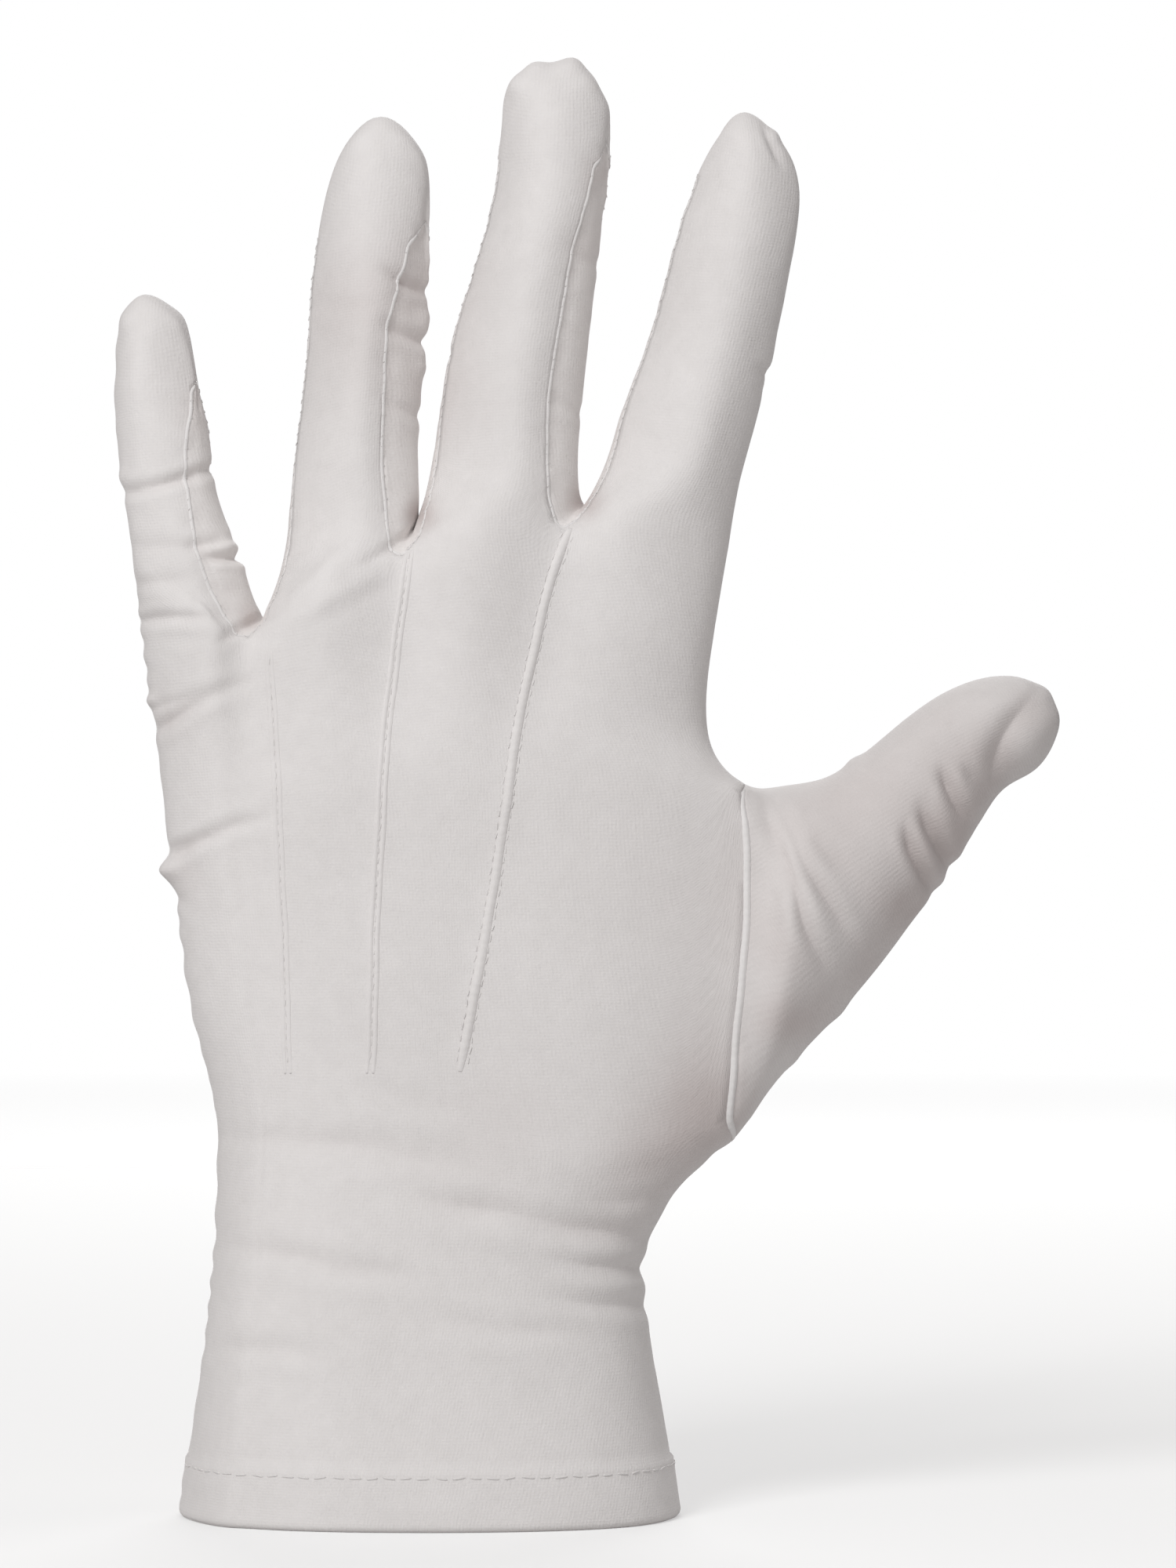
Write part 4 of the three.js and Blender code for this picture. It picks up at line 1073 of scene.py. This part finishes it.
def panel_cloth(skin, panel):
    """A panel as a closed shell of cloth: outer face, inner face, and the cut edge between them. At the
    wrist the edge is turned over in a half circle."""
    outer = outer_polygons(skin, panel)
    inner = skin.faces[INNER_LEVEL][np.repeat(skin.panel_of[panel], 4 ** INNER_LEVEL)].tolist()
    ahead = dict(open_edges(outer))
    wrist = {k for k in ahead if skin.points[k][2] < HEM_HEIGHT / 4}
    shell = Shell(skin, setbacks(skin, outer, ahead.keys() - wrist))
    for polygon in outer:
        shell.face([(k, 0) for k in polygon])
    for polygon in inner:
        shell.face([(k, TURN_STEPS) for k in polygon[::-1]])
    for a, b in open_edges(inner):
        chain = [a]
        while chain[-1] != b:
            chain.append(ahead[chain[-1]])
        shell.close(chain, a in wrist and b in wrist)
    piece = make_mesh(f"{panel}_cloth", shell.points, shell.polygons, shell.soft)
    sources = [k for k, step in shell.numbers]
    # The darker pinkish tone, partly painted shade, goes with each point to the material.
    add_attribute(piece, "blush", skin.blush[sources])
    add_attribute(piece, "knit", np.pad(skin.knit[panel][sources] * MM, ((0, 0), (0, 1))))
    return piece


def divided_skin():
    """The whole glove as one smooth skin, with the nets and faces of each division."""
    net = Net()
    hand = add_hand(net)
    fingers = add_fingers(net, hand)
    add_thumb(net, hand)
    targets, faces = np.array(net.points, float), np.array(net.faces)
    nets, all_faces = [connect(faces, len(targets))], [faces]
    points = np.hstack([fit(targets, nets[0]), knit_places(targets, hand, fingers)])
    for _ in range(FINEST_LEVEL):
        points, faces = divide(points, nets[-1])
        nets.append(connect(faces, len(points)))
        all_faces.append(faces)
    points = smooth(points, nets[-1])
    points, knit = points[:, :3], points[:, 3:]
    panels = np.array(net.panels)
    return SimpleNamespace(
        hand=hand, fingers=fingers, nets=nets, faces=all_faces, smooth_points=points,
        normals=point_normals(points, faces), panel_of={p: panels == p for p in PANELS},
        knit={"trank": knit, "thumb": thumb_knit(points), **{p: points[:, (1, 2)] for p in FOURCHETTES}},
    )


def build_skin():
    """The skin of the glove, pressed and measured, with its seams."""
    skin = divided_skin()
    skin.in_strip = points_within(skin, FOURCHETTES)
    skin.seams = seam_paths(skin)
    skin.heights = press(skin)
    skin.points = skin.smooth_points + skin.normals * skin.heights[:, None]
    skin.levels = face_levels(skin)
    skin.inner_points = inner_places(skin)
    skin.blush = blush(skin)
    laid_on = skin.points[:skin.nets[TREE_LEVEL].count]
    skin.tree = BVHTree.FromPolygons(laid_on.tolist(), skin.faces[TREE_LEVEL].tolist())
    return skin


def points_within(skin, names):
    """1 at the points that only the named panels touch, 0 at the others."""
    chosen = np.repeat(np.any([skin.panel_of[name] for name in names], axis=0), 4 ** FINEST_LEVEL)
    within = np.zeros(len(skin.smooth_points))
    within[skin.faces[-1][chosen]] = 1
    within[skin.faces[-1][~chosen]] = 0
    return within


def thumb_knit(points):
    """Places in the knit of the thumb: round it from its upper side, and along it."""
    start, end = (np.array(p, float) for p in THUMB_AXIS)
    axis = (end - start) / np.linalg.norm(end - start)
    offset = points - start
    along = offset @ axis
    out = offset - along[:, None] * axis
    up = np.cross(axis, np.cross([0, 0, 1.0], axis))
    up /= np.linalg.norm(up)
    angle = np.arccos(np.clip(out @ up / np.maximum(np.linalg.norm(out, axis=1), 1e-9), -1, 1))
    return np.stack([angle * THUMB_RADIUS, along], axis=1)


def seam(skin, name, chain, later=0):
    """A seam with the numbers of the points on it. Its puckers start later by a phase."""
    path = SimpleNamespace(**vars(SEAMS[name]))
    path.numbers = refine_chain(chain + chain[:1] if path.closed else chain, skin.nets[:FINEST_LEVEL])
    path.phase += later
    return path


def fourchette_chain(hand, fingers, index):
    """The edge of a fourchette: down one finger, round the fork and up the next on the back, over that
    finger's side, and the same way back on the palm side."""
    left = fingers[index].loops[1:FOURCHETTE_RINGS + 1]
    right = fingers[index + 1].loops[1:FOURCHETTE_RINGS + 1]
    root, column = hand[LAST_ROW], FORK_COLUMNS[index]
    back = [*[loop[2] for loop in left[::-1]], root.back[column], *[loop[0] for loop in right]]
    front = [*[loop[6] for loop in right[::-1]], root.front[column], *[loop[4] for loop in left]]
    return [*back, right[-1][7], *front, left[-1][3]]


def seam_paths(skin):
    """The seams that join the panels: round each fourchette, round the thumb's opening, and up the little
    finger's side."""
    hand, fingers = skin.hand, skin.fingers
    side = [*[ring.left for ring in hand], *[loop[7] for loop in fingers[0].loops[1:]]]
    return [
        *[seam(skin, "finger_seams", fourchette_chain(hand, fingers, index), index * PHASE_STEP)
          for index in range(len(FORK_COLUMNS))],
        seam(skin, "thumb_seam", thumb_opening(hand)),
        seam(skin, "side_seam", side),
    ]


def evenly(places, step, closed):
    """Evenly spaced places along a chain of places. A closed chain ends just before its start."""
    along = lengths_along(places)
    count = round(along[-1] / step) + 1
    at = np.linspace(0, along[-1], count)[:count - 1 if closed else count]
    return at, along[-1], np.stack([np.interp(at, along, column) for column in places.T], axis=1)


def rounded(places, rounds, closed):
    """A chain of places with its corners rounded. The ends of an open chain stay."""
    places = places.copy()
    for _ in range(rounds):
        softer = (np.roll(places, 1, axis=0) + places * 2 + np.roll(places, -1, axis=0)) / 4
        if not closed:
            softer[0], softer[-1] = places[0], places[-1]
        places = softer
    return places


def line_frame(at, length, found, closed):
    """A line through places found on the cloth, with its directions along, out of the cloth and across."""
    places, normals = (np.array([hit[i] for hit in found]) for i in (0, 1))
    places = rounded(places, LAID_ROUNDS, closed)
    normal = rounded(normals, NORMAL_ROUNDS, closed)
    tangent = np.roll(places, -1, axis=0) - np.roll(places, 1, axis=0)
    if not closed:
        tangent[0], tangent[-1] = places[1] - places[0], places[-1] - places[-2]
    tangent /= np.linalg.norm(tangent, axis=1, keepdims=True)
    normal -= np.sum(normal * tangent, axis=1, keepdims=True) * tangent
    normal /= np.linalg.norm(normal, axis=1, keepdims=True)
    return SimpleNamespace(at=at, length=length, point=places, tangent=tangent, normal=normal,
                           across=np.cross(tangent, normal), closed=closed)


def seam_line(skin, path):
    """The line of a seam, its corners rounded and laid back on the cloth."""
    at, length, places = evenly(skin.points[path.numbers], RIDGE_STEP, path.closed)
    found = [skin.tree.find_nearest(place) for place in rounded(places, path.rounds, path.closed)]
    return line_frame(at, length, found, path.closed)


def point_line(skin, point):
    """The line of a raised point: where the camera's view of its places meets the cloth."""
    at, length, flat = evenly(np.array(point.places, float), RIDGE_STEP, False)
    flat = rounded(flat, POINT_ROUNDS, False)
    eye = Vector(MIDDLE + (0, -CAMERA_DISTANCE, 0))
    found = [skin.tree.ray_cast(eye, Vector((x, MIDDLE[1], z)) - eye) for x, z in flat]
    return line_frame(at, length, found, False)


class Parts:
    """Points and polygons of a mesh that is put together from several parts."""

    def __init__(self):
        self.points = []
        self.polygons = []
        self.count = 0

    def add(self, points, polygons):
        self.polygons += [[self.count + k for k in polygon] for polygon in polygons]
        self.points.append(points)
        self.count += len(points)

    def mesh(self, name):
        return make_mesh(name, np.concatenate(self.points), self.polygons, [True] * len(self.polygons))


def tube_polygons(steps, width, closed):
    """Faces of a tube of rings, with a cap on each end unless the rings close on themselves."""
    polygons = []
    for s in range(steps if closed else steps - 1):
        a, b = s * width, (s + 1) % steps * width
        polygons += [[a + i, a + (i + 1) % width, b + (i + 1) % width, b + i] for i in range(width)]
    if not closed:
        polygons += [list(range(width))[::-1], [(steps - 1) * width + i for i in range(width)]]
    return polygons


def sways(along, waves, width):
    """Several waves along a raised line of the given half width."""
    return sum(sway(along, (size, length), width * phase) for size, length, phase in waves)


def add_ridge(parts, line, width, height, shift, taper, top=math.inf):
    """A raised line of folded cloth, its foot sunk in the cloth. It is lower where it leaves the back and
    fades out just below top."""
    ends = 1 if line.closed else np.clip(np.minimum(line.at, line.length - line.at) / taper, 0, 1) ** 0.5
    ends = ends * np.clip((-SIDE_TURN - line.normal[:, 1]) * SIDE_RISE, LEAST_AT_SIDE, 1)
    ends = ends * np.clip((top - line.point[:, 2]) / TOP_FADE, LEAST_AT_TOP, 1)
    lumps = 1 + sways(line.at, RIDGE_LUMPS, width)
    wander = shift + sways(line.at, RIDGE_WANDERS, width)
    rings = []
    for across, up in PROFILE:
        side = across * width * lerp(1, lumps, LUMPS_IN_WIDTH) * lerp(LEAST_WIDTH, 1, ends) + wander
        rise = up * height * lumps * ends if up > 0 else -PROFILE_ROOT + line.at * 0
        rings.append(line.point + line.across * side[:, None] + line.normal * rise[:, None])
    rings = np.stack(rings, axis=1)
    parts.add(rings.reshape(-1, 3), tube_polygons(*rings.shape[:2], line.closed))


def seam_ridges(skin, name):
    """The raised lines of all seams with this name, as one piece."""
    parts = Parts()
    for path in skin.seams:
        if path.name == name:
            add_ridge(parts, seam_line(skin, path), path.width, path.height, 0, SEAM_TAPER, path.top)
    return parts.mesh(name)


def point_ridges(skin):
    """The raised points on the back, each with one ridge or with two that stand apart."""
    parts = Parts()
    for point in POINTS:
        line = point_line(skin, point)
        for shift in ((-point.apart, point.apart) if point.apart else (0,)):
            add_ridge(parts, line, point.width, point.height, shift, POINT_TAPER)
    return parts.mesh("points")


def stitch_shape():
    """One stitch of unit length and unit half thickness, along its first axis."""
    turns = [2 * math.pi * i / STITCH_SECTION for i in range(STITCH_SECTION)]
    points, polygons = [(STITCH_RINGS[0][0], 0, 0)], []
    for along, radius in STITCH_RINGS[1:-1]:
        points += [(along, radius * math.cos(t), radius * math.sin(t)) for t in turns]
    points.append((STITCH_RINGS[-1][0], 0, 0))
    last = len(points) - 1
    for i in range(STITCH_SECTION):
        j = (i + 1) % STITCH_SECTION
        polygons.append([0, 1 + j, 1 + i])
        polygons.append([last, last - STITCH_SECTION + i, last - STITCH_SECTION + j])
        for ring in range(len(STITCH_RINGS) - 3):
            a = 1 + ring * STITCH_SECTION
            polygons.append([a + i, a + j, a + STITCH_SECTION + j, a + STITCH_SECTION + i])
    return np.array(points), polygons


def varied(n, wave):
    """By how much stitch n of a row differs from the others."""
    size, speed = wave
    return size * math.sin(n * speed)


def add_stitches(parts, line, row, shift, height):
    """A row of stitches beside or on a line."""
    shape, polygons = stitch_shape()
    step = line.length / len(line.at)
    for n in range(1, int(line.length / row.pitch)):
        k = min(len(line.at) - 1, round(n * row.pitch / step))
        turn = row.turn + varied(n, STITCH_TURNS)
        along = line.tangent[k] * math.cos(turn) + line.across[k] * math.sin(turn)
        beside = line.across[k] * math.cos(turn) - line.tangent[k] * math.sin(turn)
        centre = line.point[k] + line.across[k] * (shift + varied(n, STITCH_SHIFTS)) + line.normal[k] * height
        sizes = (row.length * (1 + varied(n, STITCH_LENGTHS)), row.thickness, row.thickness)
        parts.add(centre + shape * sizes @ np.array([along, beside, line.normal[k]]), polygons)


def hem_line(skin):
    """The path of the stitches that hold the hem, once round the wrist."""
    gap = np.abs(skin.smooth_points[:, 2] - HEM_STITCH_HEIGHT)
    row = np.flatnonzero(gap < HEM_HEIGHT / 2 ** FINEST_LEVEL / 2)
    row = row[np.argsort(np.arctan2(skin.points[row, 1], skin.points[row, 0]))]
    return seam_line(skin, SimpleNamespace(numbers=np.append(row, row[0]), closed=True, rounds=6))


def stitching(skin):
    """All the stitches: beside the raised points, over the finger seams and round the hem."""
    parts = Parts()
    for point in POINTS:
        for side in ((0,) if point.apart else (-1, 1)):
            shift = side * (point.width + BESIDE_POINT)
            add_stitches(parts, point_line(skin, point), STITCHES["points"], shift, 0)
    for path in skin.seams:
        if path.name == "finger_seams":
            add_stitches(parts, seam_line(skin, path), STITCHES[path.name], 0, path.height * ON_SEAM)
    add_stitches(parts, hem_line(skin), STITCHES["hem"], 0, ON_HEM)
    return parts.mesh("stitching")


def nodes_of(name):
    """A new material with its node tree and shader."""
    material = bpy.data.materials.new(name)
    material.use_nodes = True
    tree = material.node_tree
    tree.nodes.clear()
    output = tree.nodes.new("ShaderNodeOutputMaterial")
    shader = tree.nodes.new("ShaderNodeBsdfPrincipled")
    tree.links.new(shader.outputs[0], output.inputs[0])
    return material, tree, shader


def add_node(tree, kind, inputs=(), **settings):
    """A node with its settings, whose inputs are numbers or other nodes' outputs."""
    node = tree.nodes.new(kind)
    for key, value in settings.items():
        setattr(node, key, value)
    for key, value in dict(inputs).items():
        if isinstance(value, bpy.types.NodeSocket):
            tree.links.new(value, node.inputs[key])
        else:
            node.inputs[key].default_value = value
    return node


def maths(tree, operation, a, b=0.0):
    return add_node(tree, "ShaderNodeMath", {0: a, 1: b}, operation=operation).outputs[0]


def noise(tree, name, place):
    sizes = {"Scale": NOISES[name].scale, "Detail": NOISES[name].detail}
    return add_node(tree, "ShaderNodeTexNoise", {"Vector": place, **sizes}).outputs[0]


def ranged(tree, value, to, start=(0, 1)):
    """A value stretched from the one range to the other."""
    inputs = {0: value, 1: start[0], 2: start[1], 3: to[0], 4: to[1]}
    return add_node(tree, "ShaderNodeMapRange", inputs).outputs[0]


def weighted(tree, shares, **values):
    """The sum of values, each multiplied by its share."""
    parts = [maths(tree, "MULTIPLY", value, getattr(shares, name)) for name, value in values.items()]
    return reduce(lambda a, b: maths(tree, "ADD", a, b), parts)


def knit_rows(tree, axis, pitch, phase):
    turns = maths(tree, "MULTIPLY", axis, 2 * math.pi / (pitch * MM))
    return maths(tree, "SINE", maths(tree, "ADD", turns, phase))


def fine_ribs(tree, knit):
    stretched = add_node(tree, "ShaderNodeVectorMath", {0: knit, 1: RIB_SCALES}, operation="MULTIPLY")
    inputs = {"Vector": stretched.outputs[0], "Scale": 1, "Detail": 1}
    return add_node(tree, "ShaderNodeTexNoise", inputs).outputs[0]


def add_bump(tree, shader, relief, depth):
    bump = add_node(tree, "ShaderNodeBump", {"Height": relief, "Distance": depth * MM, "Strength": 1})
    tree.links.new(bump.outputs[0], shader.inputs["Normal"])


def mixed(tree, share, a, b):
    """One colour where the share is 0, the other where it is 1."""
    mix = add_node(tree, "ShaderNodeMix", {0: share}, data_type="RGBA")
    for key, colour in (("A", a), ("B", b)):
        if isinstance(colour, bpy.types.NodeSocket):
            tree.links.new(colour, mix.inputs[key])
        else:
            mix.inputs[key].default_value = colour
    return mix.outputs["Result"]


def cloth_material(name):
    """Fine white knit: uneven wales and courses in relief, soft mottling of colour and roughness, a faint
    sheen, and a darker pinkish tone that is partly the hand showing through and partly painted shade."""
    row = KNITS[name]
    material, tree, shader = nodes_of(name)
    knit = add_node(tree, "ShaderNodeAttribute", attribute_name="knit").outputs["Vector"]
    place = add_node(tree, "ShaderNodeTexCoord").outputs["Object"]
    across, along, _ = add_node(tree, "ShaderNodeSeparateXYZ", {0: knit}).outputs
    phase = maths(tree, "MULTIPLY", noise(tree, "waver", place), KNIT_WAVER)
    relief = weighted(
        tree, RELIEF_SHARES,
        wales=knit_rows(tree, across, WALE_PITCH, phase), courses=knit_rows(tree, along, COURSE_PITCH, phase),
        grain=noise(tree, "grain", place), ribs=fine_ribs(tree, knit),
    )
    add_bump(tree, shader, relief, row.relief)
    broad, small = noise(tree, "broad", place), noise(tree, "small", place)
    ramp = add_node(tree, "ShaderNodeValToRGB", {0: weighted(tree, MOTTLE_SHARES, broad=broad, small=small)})
    for stop, position, colour in zip(ramp.color_ramp.elements, MOTTLE_MIDDLE, (row.dark, row.light)):
        stop.position, stop.color = position, colour
    # Darker and pinkish where the attribute asks: partly the hand showing through, partly painted shade.
    blush_and_shade_level = add_node(tree, "ShaderNodeAttribute", attribute_name="blush").outputs["Fac"]
    share = maths(tree, "MULTIPLY", blush_and_shade_level, ranged(tree, broad, BLUSH_AND_SHADE_SHARES, BLUSH_AND_SHADE_BROAD))
    tree.links.new(mixed(tree, share, ramp.outputs[0], BLUSH_AND_SHADE_COLOUR), shader.inputs["Base Color"])
    tree.links.new(ranged(tree, small, ROUGHNESS), shader.inputs["Roughness"])
    shader.inputs["Sheen Weight"].default_value = 0.2
    shader.inputs["Sheen Roughness"].default_value = 0.45
    shader.inputs["Specular IOR Level"].default_value = 0.3
    return material


def thread_material():
    """Smooth white sewing thread, twisted finely along its length."""
    material, tree, shader = nodes_of("sewing_thread")
    place = add_node(tree, "ShaderNodeTexCoord").outputs["Object"]
    twist = noise(tree, "twist", place)
    add_bump(tree, shader, twist, THREAD_RELIEF)
    inputs = {0: THREAD_COLOUR, "Scale": ranged(tree, twist, THREAD_SHADES)}
    tint = add_node(tree, "ShaderNodeVectorMath", inputs, operation="SCALE").outputs[0]
    tree.links.new(tint, shader.inputs["Base Color"])
    shader.inputs["Roughness"].default_value = 0.6
    shader.inputs["Sheen Weight"].default_value = 0.1
    return material


def add_light(row):
    data = bpy.data.lights.new(row.name, "AREA")
    data.size = row.size
    data.energy = row.power
    light = bpy.data.objects.new(row.name, data)
    light.location = row.place
    aim(light, LIGHTS_TARGET)
    bpy.context.scene.collection.objects.link(light)


def aim(thing, target):
    direction = Vector(target) - Vector(thing.location)
    thing.rotation_mode = "QUATERNION"
    thing.rotation_quaternion = direction.to_track_quat("-Z", "Y")


def add_world():
    """An even pale room, brighter towards the upper left. Seen directly it is plain white."""
    world = bpy.data.worlds.new("studio")
    world.use_nodes = True
    tree = world.node_tree
    tree.nodes.clear()
    direction = add_node(tree, "ShaderNodeTexCoord").outputs["Generated"]
    inputs = {0: direction, 1: LIGHT_FROM}
    towards = add_node(tree, "ShaderNodeVectorMath", inputs, operation="DOT_PRODUCT").outputs["Value"]
    level = ranged(tree, towards, ROOM_LEVELS, (-1, 1))
    colour = mixed(tree, ranged(tree, towards, (0, 1), (-1, 1)), *ROOM_COLOURS)
    room = add_node(tree, "ShaderNodeBackground", {"Color": colour, "Strength": level})
    seen = add_node(tree, "ShaderNodeBackground", {"Color": (1, 1, 1, 1), "Strength": 1.0})
    direct = add_node(tree, "ShaderNodeLightPath").outputs["Is Camera Ray"]
    mix = add_node(tree, "ShaderNodeMixShader", {0: direct, 1: room.outputs[0], 2: seen.outputs[0]})
    output = add_node(tree, "ShaderNodeOutputWorld")
    tree.links.new(mix.outputs[0], output.inputs[0])
    bpy.context.scene.world = world
    bpy.context.scene.view_settings.view_transform = "Standard"


def add_surroundings():
    """The room, the lights and the camera."""
    add_world()
    for row in LIGHTS:
        add_light(row)
    data = bpy.data.cameras.new("camera")
    data.lens, data.sensor_width = LENS, SENSOR_WIDTH
    camera = bpy.data.objects.new("camera", data)
    camera.location = (MIDDLE + (0, -CAMERA_DISTANCE, 0)) * MM
    aim(camera, MIDDLE * MM)
    bpy.context.scene.collection.objects.link(camera)
    bpy.context.scene.camera = camera


def add_floor():
    """A wide pale floor just under the glove, which fades into the pale background far from it."""
    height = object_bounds()[0][2]
    mesh = bpy.data.meshes.new("floor")
    turns = [2 * math.pi * i / FLOOR_SIDES for i in range(FLOOR_SIDES)]
    rim = [(FLOOR_RADIUS * math.cos(a), FLOOR_RADIUS * math.sin(a), height) for a in turns]
    mesh.from_pydata(rim, [], [list(range(FLOOR_SIDES))])
    floor = bpy.data.objects.new("floor", mesh)
    bpy.context.scene.collection.objects.link(floor)
    material, tree, shader = nodes_of("floor_paper")
    shader.inputs["Base Color"].default_value = FLOOR_COLOUR
    shader.inputs["Roughness"].default_value = FLOOR_ROUGHNESS
    place = add_node(tree, "ShaderNodeTexCoord").outputs["Object"]
    distance = add_node(tree, "ShaderNodeVectorMath", {0: place}, operation="LENGTH").outputs["Value"]
    tree.links.new(ranged(tree, distance, (FLOOR_ALPHA, 0), FLOOR_FADE), shader.inputs["Alpha"])
    floor.data.materials.append(material)


skin = build_skin()
knits = {name: cloth_material(name) for name in KNITS}
for panel in PANELS:
    piece = panel_cloth(skin, panel)
    # The fourchettes take the lighter knit, which is painted light.
    piece.data.materials.append(knits["fourchette_knit" if panel in FOURCHETTES else "glove_knit"])
    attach(piece, "root")
    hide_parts(panel)
raised = [(seam_ridges(skin, name), knits["seam_knit"]) for name in SEAMS]
raised += [(point_ridges(skin), knits["glove_knit"]), (stitching(skin), thread_material())]
for piece, material in raised:
    piece.data.materials.append(material)
    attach(piece, "root")
add_surroundings()
add_floor()
